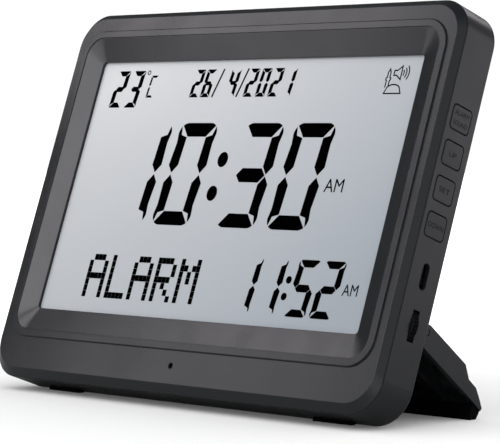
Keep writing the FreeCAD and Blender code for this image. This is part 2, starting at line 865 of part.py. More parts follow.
def make_volume_control():
    base = disc(
        "volume_base",
        WHEEL_X,
        "-dims.wheel_height",
        "dims.pot_radius",
        BOARD_BACK,
        "dims.pot_thickness",
    )
    post = face_sketch(base, "wheel_post", BOARD_BACK)
    circle_at(post, WHEEL_X, "-dims.wheel_height", "dims.wheel_bore - dims.wheel_bearing")
    post_top = "dims.wheel_front + dims.wheel_thickness - dims.wheel_dish_depth"
    pad(base, post, f"{post_top} + dims.rivet_gap - {BOARD_BACK}", reverse=True)
    bore = face_sketch(base, "post_bore", BOARD_BACK)
    circle_at(bore, WHEEL_X, "-dims.wheel_height", "dims.rivet_shank + 0.02")
    pocket(base, bore, "2 * dims.wheel_thickness")

    wheel = disc(
        "volume_wheel",
        WHEEL_X,
        "-dims.wheel_height",
        "dims.wheel_radius",
        "dims.wheel_front",
        "dims.wheel_thickness",
    )
    hub = face_sketch(wheel, "wheel_bore", "dims.wheel_front")
    hub.setExpression("AttachmentOffset.Base.x", WHEEL_X)
    hub.setExpression("AttachmentOffset.Base.y", "-dims.wheel_height")
    circle_at(hub, "0", "0", "dims.wheel_bore")
    pocket(wheel, hub, "2 * dims.wheel_thickness")
    dish = face_sketch(wheel, "wheel_dish", "dims.wheel_front + dims.wheel_thickness")
    circle_at(dish, WHEEL_X, "-dims.wheel_height", "dims.wheel_dish")
    pocket(wheel, dish, "dims.wheel_dish_depth", reverse=True)
    notch = face_sketch(wheel, "wheel_notch", "dims.wheel_front")
    rim = f"{WHEEL_X} + dims.wheel_radius"
    outline(
        notch,
        [
            (f"{rim} - dims.wheel_notch_depth", "-dims.wheel_height"),
            (f"{rim} + 0.1", "-dims.wheel_height - dims.wheel_notch_width / 2"),
            (f"{rim} + 0.1", "-dims.wheel_height + dims.wheel_notch_width / 2"),
        ],
    )
    cut = pocket(wheel, notch, "2 * dims.wheel_thickness")
    knurl = wheel.newObject("PartDesign::PolarPattern", "wheel_knurl")
    knurl.Originals = [cut]
    knurl.Axis = (hub, ["N_Axis"])
    knurl.Angle = 360
    knurl.setExpression("Occurrences", "dims.wheel_notches")
    wheel.Tip = knurl

    rivet = disc(
        "wheel_rivet",
        WHEEL_X,
        "-dims.wheel_height",
        "dims.rivet_head",
        f"{post_top} + dims.rivet_gap",
        "dims.rivet_height",
    )
    shank = face_sketch(rivet, "rivet_shank", f"{post_top} + dims.rivet_gap")
    circle_at(shank, WHEEL_X, "-dims.wheel_height", "dims.rivet_shank")
    pad(rivet, shank, "0.6 * dims.wheel_thickness")


# Keys: a cap with a flange behind the wall, and the switch that it presses


def make_keys():
    switches = new_body("key_switches")
    cases = face_sketch(switches, "switch_cases", BOARD_BACK)
    for number in range(len(KEY_NAMES)):
        rounded_rectangle(
            cases,
            "(dims.body_width / 2 - dims.switch_margin) - dims.switch_length / 2",
            f"dims.key_first - {number} * dims.key_pitch",
            "dims.switch_length",
            "dims.switch_width",
            "0.3",
        )
    pad(switches, cases, "dims.switch_height", reverse=True)
    wells = side_sketch(switches, "switch_wells", "(dims.body_width / 2 - dims.switch_margin)")
    for number in range(len(KEY_NAMES)):
        rounded_rectangle(
            wells,
            "dims.key_middle",
            f"dims.key_first - {number} * dims.key_pitch",
            "dims.stem_depth + 2 * dims.stem_gap",
            "dims.stem_width + 2 * dims.stem_gap",
            "0.3",
        )
    pocket(switches, wells, "dims.stem_root_margin - dims.switch_margin + dims.key_travel + 0.2")

    flange_front = f"{INNER_SIDE} - dims.key_flange_gap"
    for number, name in enumerate(KEY_NAMES):
        middle = f"dims.key_first - {number} * dims.key_pitch"
        key = new_body(f"{name}_key")
        cap = side_sketch(key, f"{name}_cap", "dims.body_width / 2 + dims.key_proud")
        rounded_rectangle(
            cap,
            "dims.key_middle",
            middle,
            "dims.key_depth",
            "dims.key_height",
            "dims.key_corner",
        )
        cap_length = f"dims.body_width / 2 + dims.key_proud - ({flange_front})"
        pad(key, cap, f"{cap_length} + dims.key_flange / 2", reverse=True)
        flange = side_sketch(key, f"{name}_flange", flange_front)
        rounded_rectangle(
            flange,
            "dims.key_middle",
            middle,
            "dims.key_depth + 2 * dims.key_lip_deep",
            "dims.key_height + 2 * dims.key_lip_high",
            "dims.key_corner",
        )
        pad(key, flange, "dims.key_flange", reverse=True)
        post = side_sketch(key, f"{name}_post", f"{flange_front} - dims.key_flange / 2")
        circle_at(post, "dims.key_middle", middle, "dims.key_post")
        post_length = f"{flange_front} - dims.key_flange / 2 - (dims.body_width / 2 - dims.stem_margin)"
        pad(key, post, post_length, reverse=True)
        face = size("dims.body_width / 2 + dims.key_proud")
        round_edges(key, f"{name}_edge", "dims.key_edge", lies_in(0, face), bevel=True)

        stem = new_body(f"{name}_switch_stem")
        rod = side_sketch(stem, f"{name}_stem", "(dims.body_width / 2 - dims.stem_margin)")
        rounded_rectangle(
            rod, "dims.key_middle", middle, "dims.stem_depth", "dims.stem_width", "0.3"
        )
        pad(stem, rod, "dims.stem_root_margin - dims.stem_margin", reverse=True)


# Speaker: basket, cone and magnet, each turned about the speaker's axis


def make_speaker():
    seat = f"{FLOOR_DEPTH}"
    front = f"({seat} - dims.speaker_depth)"
    basket = disc(
        "speaker_basket",
        "-dims.speaker_x",
        "dims.speaker_height",
        "dims.speaker_radius",
        f"{seat} - 1.2",
        "1.15",
    )
    back = face_sketch(basket, "basket_back", front)
    circle_at(back, "-dims.speaker_x", "dims.speaker_height", "dims.magnet_radius + 2.5")
    mouth = face_sketch(basket, "basket_mouth", f"{seat} - 1.2")
    circle_at(mouth, "-dims.speaker_x", "dims.speaker_height", "dims.speaker_radius - 1")
    cone = basket.newObject("PartDesign::AdditiveLoft", "basket_taper")
    cone.Profile = back
    cone.Sections = [mouth]
    cone.Ruled = True
    well_floor = face_sketch(basket, "basket_floor", f"{front} + 0.8")
    circle_at(well_floor, "-dims.speaker_x", "dims.speaker_height", "dims.magnet_radius + 2")
    well_mouth = face_sketch(basket, "basket_well", seat)
    circle_at(well_mouth, "-dims.speaker_x", "dims.speaker_height", "dims.speaker_radius - 1.6")
    well = basket.newObject("PartDesign::SubtractiveLoft", "basket_hollow")
    well.Profile = well_floor
    well.Sections = [well_mouth]
    well.Ruled = True

    membrane = disc(
        "speaker_cone",
        "-dims.speaker_x",
        "dims.speaker_height",
        "dims.speaker_radius - 3.8",
        f"{seat} - 1.3",
        "0.5",
    )
    cap = face_sketch(membrane, "cone_cap", f"{seat} - 1.3")
    circle_at(cap, "-dims.speaker_x", "dims.speaker_height", "0.8 * dims.magnet_radius")
    pad(membrane, cap, "1", reverse=True)
    coil = face_sketch(membrane, "voice_coil", f"{seat} - 1.3")
    circle_at(coil, "-dims.speaker_x", "dims.speaker_height", "0.5 * dims.magnet_radius")
    pad(membrane, coil, "dims.speaker_depth - 2.4")

    disc(
        "speaker_magnet",
        "-dims.speaker_x",
        "dims.speaker_height",
        "dims.magnet_radius",
        f"{front} - dims.magnet_thickness",
        "dims.magnet_thickness",
    )


# Power: the flat cell and the tape that holds it


def make_power_cell():
    cell = plate(
        "power_cell",
        "dims.cell_x",
        "dims.cell_height",
        "dims.cell_width",
        "dims.cell_length",
        "dims.cell_corner",
        f"{FLOOR_DEPTH} - dims.tape_thickness - dims.cell_thickness",
        "dims.cell_thickness",
    )
    faces = [
        lies_in(1, size(f"{FLOOR_DEPTH} - dims.tape_thickness")),
        lies_in(1, size(f"{FLOOR_DEPTH} - dims.tape_thickness - dims.cell_thickness")),
    ]
    round_edges(cell, "cell_edges", "1", lambda edge: faces[0](edge) or faces[1](edge), bevel=True)
    plate(
        "cell_tape",
        "dims.cell_x",
        "dims.cell_height",
        "0.8 * dims.cell_width",
        "0.7 * dims.cell_length",
        "1",
        f"{FLOOR_DEPTH} - dims.tape_thickness",
        "dims.tape_thickness",
    )


# Case screws, driven from the back


def make_case_screws():
    body = new_body("case_screws")
    seat = "dims.body_depth - dims.counterbore_depth"
    heads = face_sketch(body, "case_screw_heads", seat)
    shanks = face_sketch(body, "case_screw_shanks", seat)
    for across, height in CASE_SCREWS:
        circle_at(heads, across, height, "dims.case_screw_head")
        circle_at(shanks, across, height, "dims.case_screw_shank")
    pad(body, heads, "dims.case_screw_height", reverse=True)
    rim = size(f"{seat} + dims.case_screw_height")
    round_edges(body, "case_screw_dome", "0.6", lies_in(1, rim), bevel=True)
    pad(body, shanks, "dims.case_screw_length")


# Stand leg: a ribbed channel with stepped flanks, drawn along its own length
# The leg's own frame has its origin on the hinge axis, X along the hinge, Y along the leg and
# Z square to its upper face.

LEG_TOP = "dims.leg_axis_depth"
LEG_RIM = "(dims.leg_axis_depth - dims.leg_side)"


def heel_y(height):
    """Where the heel's face, which bears on the back of the case, stands at a height."""
    lean = f"{height} * sin(dims.leg_tilt * 1deg)"
    return f"(-dims.leg_axis_depth - {lean}) / cos(dims.leg_tilt * 1deg)"


def make_stand_leg():
    body = new_body("stand_leg")
    profile = side_sketch(body, "leg_profile")
    low_rim = f"{LEG_TOP} - dims.leg_slope_drop"
    points = [
        ("0", LEG_TOP),
        (heel_y("0"), "0"),
        (heel_y(LEG_RIM), LEG_RIM),
        ("dims.leg_end - dims.leg_bar", LEG_RIM),
        ("dims.leg_end", f"{LEG_RIM} - 0.3"),
        ("dims.leg_end", low_rim),
        ("dims.leg_step_two + dims.leg_step_run", f"{LEG_TOP} - dims.leg_nose_drop"),
        ("dims.leg_step_two", f"{LEG_TOP} - dims.leg_step_drop - 0.15"),
        ("dims.leg_step_one + dims.leg_step_run", f"{LEG_TOP} - dims.leg_step_drop"),
        ("dims.leg_step_one", LEG_TOP),
    ]
    outline(profile, points)
    pad(body, profile, "(dims.body_width - 2 * dims.leg_margin)", symmetric=True)
    root = side_sketch(body, "leg_root_round")
    circle_at(root, "0", "0", "dims.leg_axis_depth")
    pad(body, root, "(dims.body_width - 2 * dims.leg_margin)", symmetric=True)
    steps = [size(name) for name in ("dims.leg_step_one", "dims.leg_step_two")]
    run = size("dims.leg_step_run")
    breaks = steps + [step + run for step in steps]

    def across_step(edge):
        middle = edge.BoundBox.Center
        long = edge.BoundBox.XLength > size("(dims.body_width - 2 * dims.leg_margin)") - 1
        return long and min(abs(middle.y - place) for place in breaks) < 0.05

    round_edges(body, "leg_step_rounds", "0.9", across_step)
    doc.recompute()

    channel = side_sketch(body, "leg_channel")
    bar = "dims.leg_end - dims.leg_bar"
    outline(
        channel,
        [
            ("dims.leg_root", f"{LEG_TOP} - dims.leg_skin"),
            ("dims.leg_step_one - 0.6", f"{LEG_TOP} - dims.leg_skin"),
            (
                "dims.leg_step_one + dims.leg_step_run - 0.6",
                f"{LEG_TOP} - dims.leg_step_drop - dims.leg_skin",
            ),
            (bar, f"{LEG_TOP} - dims.leg_step_drop - dims.leg_skin - 1.2"),
            (bar, f"{LEG_RIM} - 1"),
            ("dims.leg_root", f"{LEG_RIM} - 1"),
        ],
    )
    pocket(body, channel, "(dims.body_width - 2 * dims.leg_margin) - 2 * dims.leg_flank", symmetric=True)

    pitch = "((dims.body_width - 2 * dims.leg_margin) - dims.leg_flank) / (dims.leg_ribs + 1)"
    first = f"dims.leg_flank / 2 - (dims.body_width - 2 * dims.leg_margin) / 2 + {pitch}"
    rib = side_sketch(body, "leg_rib_section", first)
    outline(
        rib,
        [
            ("dims.leg_root - 0.5", f"{LEG_TOP} - dims.leg_skin / 2"),
            ("dims.leg_step_one - 1.2", f"{LEG_TOP} - dims.leg_skin / 2"),
            (
                "dims.leg_step_one + dims.leg_step_run - 1.2",
                f"{LEG_TOP} - dims.leg_step_drop - dims.leg_skin / 2",
            ),
            (f"{bar} + 0.5", f"{LEG_TOP} - dims.leg_step_drop - dims.leg_skin"),
            (f"{bar} + 0.5", f"{LEG_RIM} + 0.4"),
            ("dims.leg_root - 0.5", f"{LEG_RIM} + 0.4"),
        ],
    )
    rib_pad = pad(body, rib, "dims.leg_rib", symmetric=True)
    ribs = body.newObject("PartDesign::LinearPattern", "leg_ribs")
    ribs.Originals = [rib_pad]
    across = next(item for item in body.Origin.OriginFeatures if item.Role == "X_Axis")
    ribs.Direction = (across, [""])
    ribs.setExpression("Length", f"{pitch} * (dims.leg_ribs - 1)")
    ribs.setExpression("Occurrences", "dims.leg_ribs")
    body.Tip = ribs

    for side in ("right", "left"):
        sign = "" if side == "right" else "-"
        middle = f"{sign}(dims.body_width / 2 - dims.lug_side)"
        slot = side_sketch(body, f"leg_slot_{side}", middle)
        outline(
            slot,
            [
                ("-2 * dims.leg_slot_depth", f"{LEG_TOP} + 1"),
                ("-2 * dims.leg_slot_depth", f"{LEG_RIM} - 1"),
                ("dims.leg_slot_depth", f"{LEG_RIM} - 1"),
                ("dims.leg_slot_depth", f"{LEG_TOP} + 1"),
            ],
        )
        pocket(body, slot, "dims.lug_width + 2 * dims.lug_gap", symmetric=True)
        bore = side_sketch(body, f"leg_bore_{side}", f"{sign}(dims.body_width - 2 * dims.leg_margin) / 2")
        circle_at(bore, "0", "0", "dims.pin_radius + dims.pin_running")
        pocket(
            body,
            bore,
            "dims.pin_length + 2 * dims.pin_inset",
            reverse=side == "left",
        )
    return body


def make_leg_pins():
    for side in ("right", "left"):
        sign = "" if side == "right" else "-"
        pin = new_body(f"leg_pin_{side}")
        end = f"{sign}((dims.body_width - 2 * dims.leg_margin) / 2 - dims.pin_inset)"
        section = side_sketch(pin, f"pin_section_{side}", end)
        circle_at(section, AXIS_DEPTH, "-dims.leg_height", "dims.pin_radius")
        pad(pin, section, "dims.pin_length", reverse=side == "right")
        round_edges(pin, f"pin_ends_{side}", "0.2", lambda edge: edge.Length < 8, True)


# The height of the ground line in the frame of the leaning case. The case leans on its
# lower rear edge, and the ground lies foot_drop below the lowest point of that edge.

GROUND = (
    "(cos(dims.lean_angle * 1deg) * (dims.back_round - dims.body_bottom)"
    " - sin(dims.lean_angle * 1deg) * (dims.body_depth - dims.back_round)"
    " - dims.back_round - dims.foot_drop)"
)


def ground_z(depth):
    """The height of the ground in the case's frame at a depth behind the front face."""
    rise = f"({GROUND} + sin(dims.lean_angle * 1deg) * ({depth}))"
    return f"{rise} / cos(dims.lean_angle * 1deg)"


def ground_in_leg(length):
    """The height of the ground in the leg's frame at a distance along the leg."""
    total = "(dims.lean_angle + dims.leg_tilt) * 1deg"
    hinge = (
        "(cos(dims.lean_angle * 1deg) * (-dims.leg_height)"
        f" - sin(dims.lean_angle * 1deg) * {AXIS_DEPTH})"
    )
    return f"({GROUND} - {hinge} + sin({total}) * ({length})) / cos({total})"


# Rubber: the strip along the leg's end and the two pads under the case


def make_rubber():
    strip = new_body("leg_pad")
    section = side_sketch(strip, "leg_pad_section")
    heel = "dims.leg_end - dims.leg_bar + 0.5"
    toe = "dims.leg_end + 0.2"
    outline(
        section,
        [
            ("dims.leg_end - dims.leg_bar", LEG_RIM),
            (heel, f"{LEG_RIM} - 3.6"),
            (f"{toe} - dims.pad_flat", ground_in_leg(f"{toe} - dims.pad_flat")),
            (toe, ground_in_leg(toe)),
            ("dims.leg_end + 0.3", f"{LEG_RIM} - 1.8"),
            ("dims.leg_end", f"{LEG_RIM} - 0.3"),
        ],
    )
    pad(strip, section, "(dims.body_width - 2 * dims.leg_margin - 2 * dims.pad_inset)", symmetric=True)

    feet = new_body("base_feet")
    wedge = side_sketch(feet, "foot_wedge", "dims.foot_x")
    top = "dims.foot_seat - dims.body_bottom"
    front = "dims.foot_front + 0.05"
    back = "dims.foot_back - 0.05"
    wedge_points = [
        (front, top),
        (front, ground_z(front)),
        (back, ground_z(back)),
        (back, top),
    ]
    outline(wedge, wedge_points)
    pad(feet, wedge, "dims.foot_length - 0.1", symmetric=True)
    other = side_sketch(feet, "foot_wedge_left", "-dims.foot_x")
    outline(other, wedge_points)
    pad(feet, other, "dims.foot_length - 0.1", symmetric=True)


make_front_bezel()
make_rear_housing()
make_display()
make_main_board()
make_socket()
make_volume_control()
make_keys()
make_speaker()
make_power_cell()
make_case_screws()
make_stand_leg()
make_leg_pins()
make_rubber()
doc.recompute()

# Stand the clock on the ground: lean the case back and open the leg

lean = Rotation(Vector(1, 0, 0), -size("dims.lean_angle"))
upright = Placement(Vector(0, 0, -size(GROUND)), lean)
hinge = Placement(
    Vector(0, size(AXIS_DEPTH), -size("dims.leg_height")),
    Rotation(Vector(1, 0, 0), -size("dims.leg_tilt")),
)
for body in bodies:
    on_leg = body.Label in ("stand_leg", "leg_pad")
    body.Placement = upright.multiply(hinge) if on_leg else upright
doc.recompute()

# The origin is the middle of the clock's footprint

whole = FreeCAD.BoundBox()
for body in bodies:
    whole.add(body.Shape.optimalBoundingBox(False))
shift = Vector(-whole.Center.x, -whole.Center.y, 0)
for body in bodies:
    body.Placement = Placement(shift, Rotation()).multiply(body.Placement)
doc.recompute()

for item in doc.Objects:
    if "Invalid" in item.State or "Error" in item.State:
        raise RuntimeError(f"{item.Name} is {item.State}")
for body in bodies:
    if body.Shape.isNull() or not body.Shape.isValid():
        raise RuntimeError(f"{body.Label} has no valid shape")

frame = Placement(shift, Rotation()).multiply(upright)
hinge_point = frame.multVec(hinge.Base)
wheel_point = frame.multVec(Vector(size(WHEEL_X), size(WHEEL_MIDDLE), -size("dims.wheel_height")))
print("hinge of the leg", [round(value, 4) for value in hinge_point])
print("centre of the wheel", [round(value, 4) for value in wheel_point])
print("axis of the wheel", [round(value, 6) for value in lean.multVec(Vector(0, 1, 0))])
foot_depth = (size("dims.foot_front") + size("dims.foot_back")) / 2
foot_point = frame.multVec(Vector(size("dims.foot_x"), foot_depth, size(ground_z(foot_depth))))
print("middle of the right foot", [round(value, 4) for value in foot_point])
print("bounds", [round(value, 3) for value in (whole.XLength, whole.YLength, whole.ZLength)])
print("lowest", round(whole.ZMin, 4))

os.makedirs("parts", exist_ok=True)
for body in bodies:
    body.Shape.exportStep(os.path.join("parts", f"{body.Label}.step"))
print(len(bodies), "nodes", sum(len(body.Shape.Solids) for body in bodies), "solids")
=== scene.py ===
"""Looks of a leaning desk clock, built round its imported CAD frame.

The slab of the clock has a frame of its own: across to the right, up its face and out
of its face, in millimetres from the middle of the display. Every piece made here is
drawn flat in that frame, given a thickness and then laid on the CAD part it belongs to.
"""

from __future__ import annotations

import json
import logging
import math
from dataclasses import dataclass, field
from enum import Enum
from typing import Iterable, Sequence

import bmesh
import bpy
from mathutils import Matrix, Vector

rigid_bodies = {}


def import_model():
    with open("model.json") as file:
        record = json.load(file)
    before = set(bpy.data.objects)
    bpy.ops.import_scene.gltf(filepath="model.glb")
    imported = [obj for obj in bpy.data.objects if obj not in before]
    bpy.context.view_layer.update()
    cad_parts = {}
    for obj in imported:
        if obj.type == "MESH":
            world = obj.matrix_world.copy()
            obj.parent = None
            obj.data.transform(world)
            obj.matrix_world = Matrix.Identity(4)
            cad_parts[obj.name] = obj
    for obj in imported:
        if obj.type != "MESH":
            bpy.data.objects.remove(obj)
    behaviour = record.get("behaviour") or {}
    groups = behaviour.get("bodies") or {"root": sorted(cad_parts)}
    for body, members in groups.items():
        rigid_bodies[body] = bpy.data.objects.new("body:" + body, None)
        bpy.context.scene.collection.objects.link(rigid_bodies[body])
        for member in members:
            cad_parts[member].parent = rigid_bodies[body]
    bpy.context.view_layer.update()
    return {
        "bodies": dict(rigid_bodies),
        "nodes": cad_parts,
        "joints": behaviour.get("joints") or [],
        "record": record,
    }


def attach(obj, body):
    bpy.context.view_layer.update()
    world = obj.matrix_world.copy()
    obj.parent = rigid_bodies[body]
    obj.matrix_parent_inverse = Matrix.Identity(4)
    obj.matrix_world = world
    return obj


LOG = logging.getLogger("clock")
MM = 0.001

# How near in millimetres a corner lies to the flat face that it belongs to
TOUCH = 0.01

# Where two segments of a digit part on its rounded corner, in degrees
DIAGONAL = 45

# Sockets of a colour mix node, which share their names with those for other data
FACTOR, FIRST, SECOND, MIXED = 0, 6, 7, 2

Node = bpy.types.Node
Thing = bpy.types.Object
Material = bpy.types.Material
Point = tuple[float, float]
Outline = list[Point]
Triple = tuple[float, float, float]
Colour = Triple


class Body(str, Enum):
    """The moving bodies that pieces made here ride on."""

    CASE = "case"
    ALARM = "alarm_key"
    UP = "up_key"
    SET = "set_key"
    DOWN = "down_key"


class Slot(str, Enum):
    """The record's material slots."""

    BEZEL = "bezel_plastic"
    CASE = "case_plastic"
    LEG = "leg_plastic"
    KEY = "key_plastic"
    WHEEL = "wheel_plastic"
    DISPLAY = "display"
    DIFFUSER = "diffuser"
    WHITE = "white_plastic"
    CONTACT = "contact_rubber"
    BOARD = "board"
    CHIP = "chip"
    SENSOR = "sensor"
    CAN = "can"
    STEEL = "steel"
    BLACK_STEEL = "black_steel"
    SWITCH = "switch_plastic"
    PAPER = "paper"
    MAGNET = "magnet"
    FOIL = "foil"
    RUBBER = "rubber"


def put(name: str, data: bpy.types.ID) -> Thing:
    """Puts a new object with its data into the scene.

    Args:
        name: The object's name.
        data: Its mesh, letters, light or camera.

    Returns:
        The object.
    """
    made = bpy.data.objects.new(name, data)
    bpy.context.scene.collection.objects.link(made)
    return made


# Finishes


class Wiring:
    """A node tree with short ways to add and join nodes."""

    def __init__(self, tree: bpy.types.NodeTree) -> None:
        """Takes the tree."""
        self.tree = tree

    def add(self, kind: str, **values: object) -> Node:
        """Adds a node.

        Args:
            kind: The node's type.
            values: Properties of the node, or default values of its inputs where the
                name is an input's, with underscores for spaces.

        Returns:
            The new node.
        """
        node = self.tree.nodes.new(kind)
        for key, value in values.items():
            title = key.replace("_", " ")
            if title in node.inputs:
                node.inputs[title].default_value = value
            else:
                setattr(node, key, value)
        return node

    def join(self, source: Node, out: str | int, target: Node, into: str | int) -> None:
        """Links an output to an input."""
        self.tree.links.new(source.outputs[out], target.inputs[into])


class Graph(Wiring):
    """The node tree of a new material."""

    NOISE_ROUGHNESS = 0.55
    NOISE_SPAN = (0.3, 0.7)
    BEVEL_SAMPLES = 4

    def __init__(self, name: str) -> None:
        """Starts a material that holds one principled shader.

        Args:
            name: The material's name.
        """
        self.material = bpy.data.materials.new(name)
        self.material.use_nodes = True
        super().__init__(self.material.node_tree)
        self.tree.nodes.clear()
        self.shader = self.add("ShaderNodeBsdfPrincipled")
        output = self.add("ShaderNodeOutputMaterial")
        self.join(self.shader, "BSDF", output, "Surface")
        self.place = self.add("ShaderNodeTexCoord")

    def settle(self, **values: float | Sequence[float]) -> None:
        """Sets sockets of the shader, named with underscores for spaces."""
        for key, value in values.items():
            self.shader.inputs[key.replace("_", " ")].default_value = value

    def noise(self, size: float, detail: float = 2.0, stretch: Triple = (1, 1, 1)) -> Node:
        """Noise over the object's own coordinates.

        Args:
            size: The width of one blotch in metres.
            detail: The number of finer layers.
            stretch: How many times finer it is along each axis.

        Returns:
            The noise node.
        """
        scale = self.add("ShaderNodeMapping")
        scale.inputs["Scale"].default_value = tuple(part / size for part in stretch)
        self.join(self.place, "Object", scale, "Vector")
        node = self.add(
            "ShaderNodeTexNoise", Scale=1.0, Detail=detail, Roughness=self.NOISE_ROUGHNESS
        )
        self.join(scale, "Vector", node, "Vector")
        return node

    def spread(self, source: Node, middle: float, reach: float) -> Node:
        """Maps a noise's factor to a range.

        Args:
            source: The noise.
            middle: The middle of the range.
            reach: How far it goes to each side.

        Returns:
            The node of the mapped value.
        """
        low, high = self.NOISE_SPAN
        node = self.add(
            "ShaderNodeMapRange",
            From_Min=low, From_Max=high, To_Min=middle - reach, To_Max=middle + reach,
        )
        self.join(source, 0, node, "Value")
        return node

    def mix(self, first: Colour, second: Colour) -> Node:
        """Adds a mix of two colours.

        Args:
            first: The colour where the factor is 0.
            second: The colour where the factor is 1.

        Returns:
            The mix node.
        """
        node = self.add("ShaderNodeMix", data_type="RGBA")
        node.inputs[FIRST].default_value = (*first, 1)
        node.inputs[SECOND].default_value = (*second, 1)
        return node

    def tint(self, colour: Colour, source: Node, amount: float) -> Node:
        """A colour that a noise makes slightly darker and lighter.

        Args:
            colour: The colour.
            source: The noise.
            amount: The share by which the colour changes each way.

        Returns:
            The mix node.
        """
        darker = tuple(part * (1 - amount) for part in colour)
        lighter = tuple(min(1.0, part * (1 + amount)) for part in colour)
        node = self.mix(darker, lighter)
        self.join(source, 0, node, FACTOR)
        return node

    def relief(self, heights: Iterable[tuple[Node, float]], edge: float = 0.0) -> None:
        """Adds fine relief and soft edges to the shader's normal.

        Args:
            heights: Noise nodes, each with the depth of its relief in metres.
            edge: The radius in metres that sharp edges catch light over, or 0.
        """
        last: Node | None = None
        if edge:
            last = self.add("ShaderNodeBevel", samples=self.BEVEL_SAMPLES, Radius=edge)
        for source, depth in heights:
            bump = self.add("ShaderNodeBump", Strength=1.0, Distance=depth)
            self.join(source, 0, bump, "Height")
            if last is not None:
                self.join(last, "Normal", bump, "Normal")
            last = bump
        if last is not None:
            self.join(last, "Normal", self.shader, "Normal")


class Finish:
    """A finish, whose kinds each add nodes of their own to a material."""

    def build(self, name: str) -> Material:
        """Makes the material.

        Args:
            name: The material's name.

        Returns:
            The material.
        """
        graph = Graph(name)
        self.wire(graph)
        return graph.material

    def wire(self, graph: Graph) -> None:
        """Adds the nodes of this kind of finish."""
        raise NotImplementedError


@dataclass(frozen=True)
class Moulded(Finish):
    """Moulded plastic, rubber, card or another solid with a fine even grain.

    Sizes are in metres. The grain is a relief, and the cloud varies colour and gloss.
    """

    colour: Colour
    rough: float = 0.5
    shine: float = 0.4
    grain: float = 0.00035
    grain_depth: float = 0.000006
    edge: float = 0.00012
    cloud: float = 0.018
    mottle: float = 0.06
    rough_reach: float = 0.04

    def wire(self, graph: Graph) -> None:
        """Adds the grain, mottling and gloss.

        Args:
            graph: The material's graph.
        """
        grain = graph.noise(self.grain)
        cloud = graph.noise(self.cloud, detail=3.0)
        graph.join(graph.tint(self.colour, cloud, self.mottle), MIXED, graph.shader, "Base Color")
        graph.join(graph.spread(cloud, self.rough, self.rough_reach), 0, graph.shader, "Roughness")
        graph.settle(Specular_IOR_Level=self.shine)
        graph.relief([(grain, self.grain_depth)], self.edge)


@dataclass(frozen=True)
class Metal(Finish):
    """Bare, plated or painted metal with the fine lines of its making.

    Sizes are in metres. The lines are a relief and vary the gloss, and the cloud varies
    the colour.
    """

    colour: Colour
    rough: float = 0.32
    metallic: float = 1.0
    stretch: Triple = (1, 9, 1)
    line: float = 0.0012
    line_depth: float = 0.000004
    edge: float = 0.0001
    cloud: float = 0.006
    mottle: float = 0.08
    rough_reach: float = 0.07

    def wire(self, graph: Graph) -> None:
        """Adds the lines, mottling and gloss.

        Args:
            graph: The material's graph.
        """
        lines = graph.noise(self.line, stretch=self.stretch)
        cloud = graph.noise(self.cloud, detail=3.0)
        graph.join(graph.tint(self.colour, cloud, self.mottle), MIXED, graph.shader, "Base Color")
        graph.join(graph.spread(lines, self.rough, self.rough_reach), 0, graph.shader, "Roughness")
        graph.settle(Metallic=self.metallic)
        graph.relief([(lines, self.line_depth)], self.edge)


@dataclass(frozen=True)
class Board(Finish):
    """Solder mask between copper tracks. Sizes are in metres."""

    mask: Colour
    copper: Colour
    track: float = 0.0003
    cell: Point = (0.006, 0.0017)
    shade: float = 0.8
    rough: float = 0.28
    grain: float = 0.0008
    grain_depth: float = 0.000004
    edge: float = 0.0001

    def wire(self, graph: Graph) -> None:
        """Adds the mask and tracks.

        Args:
            graph: The material's graph.
        """
        cells = graph.add(
            "ShaderNodeTexBrick", Scale=1.0, Mortar_Size=self.track,
            Brick_Width=self.cell[0], Row_Height=self.cell[1],
            Color1=(*self.mask, 1),
            Color2=(*(part * self.shade for part in self.mask), 1),
            Mortar=(*self.copper, 1),
        )
        graph.join(graph.place, "Object", cells, "Vector")
        graph.join(cells, "Color", graph.shader, "Base Color")
        graph.settle(Roughness=self.rough)
        graph.relief([(graph.noise(self.grain), self.grain_depth)], self.edge)


@dataclass(frozen=True)
class Glass(Finish):
    """The grey face of a reflective display, with painted light and shade that make it bluer and
    darker to one side.

    Sizes are in metres. The painted shading goes from the lit near colour to the
    shaded far colour along the run from its start, and a cloud makes it uneven.
    """

    near: Colour
    far: Colour
    start: Triple
    run: Triple
    curve: float = 0.75
    rough: float = 0.3
    shine: float = 0.35
    grain: float = 0.0002
    grain_depth: float = 0.000001
    cloud: float = 0.05
    drift: float = 0.03

    def wire(self, graph: Graph) -> None:
        """Adds the painted light and shade and the gloss.

        Args:
            graph: The material's graph.
        """
        away = graph.add("ShaderNodeVectorMath", operation="SUBTRACT")
        graph.join(graph.place, "Object", away, 0)
        away.inputs[1].default_value = self.start
        along = graph.add("ShaderNodeVectorMath", operation="DOT_PRODUCT")
        graph.join(away, 0, along, 0)
        length = sum(part * part for part in self.run)
        along.inputs[1].default_value = tuple(part / length for part in self.run)
        uneven = graph.add("ShaderNodeMath", operation="MULTIPLY_ADD", use_clamp=True)
        graph.join(graph.noise(self.cloud), 0, uneven, 0)
        uneven.inputs[1].default_value = self.drift
        graph.join(along, "Value", uneven, 2)
        curve = graph.add("ShaderNodeMath", operation="POWER", use_clamp=True)
        graph.join(uneven, 0, curve, 0)
        curve.inputs[1].default_value = self.curve
        painted_shading = graph.mix(self.near, self.far)
        graph.join(curve, 0, painted_shading, FACTOR)
        graph.join(painted_shading, MIXED, graph.shader, "Base Color")
        graph.settle(Roughness=self.rough, Specular_IOR_Level=self.shine)
        graph.relief([(graph.noise(self.grain), self.grain_depth)])


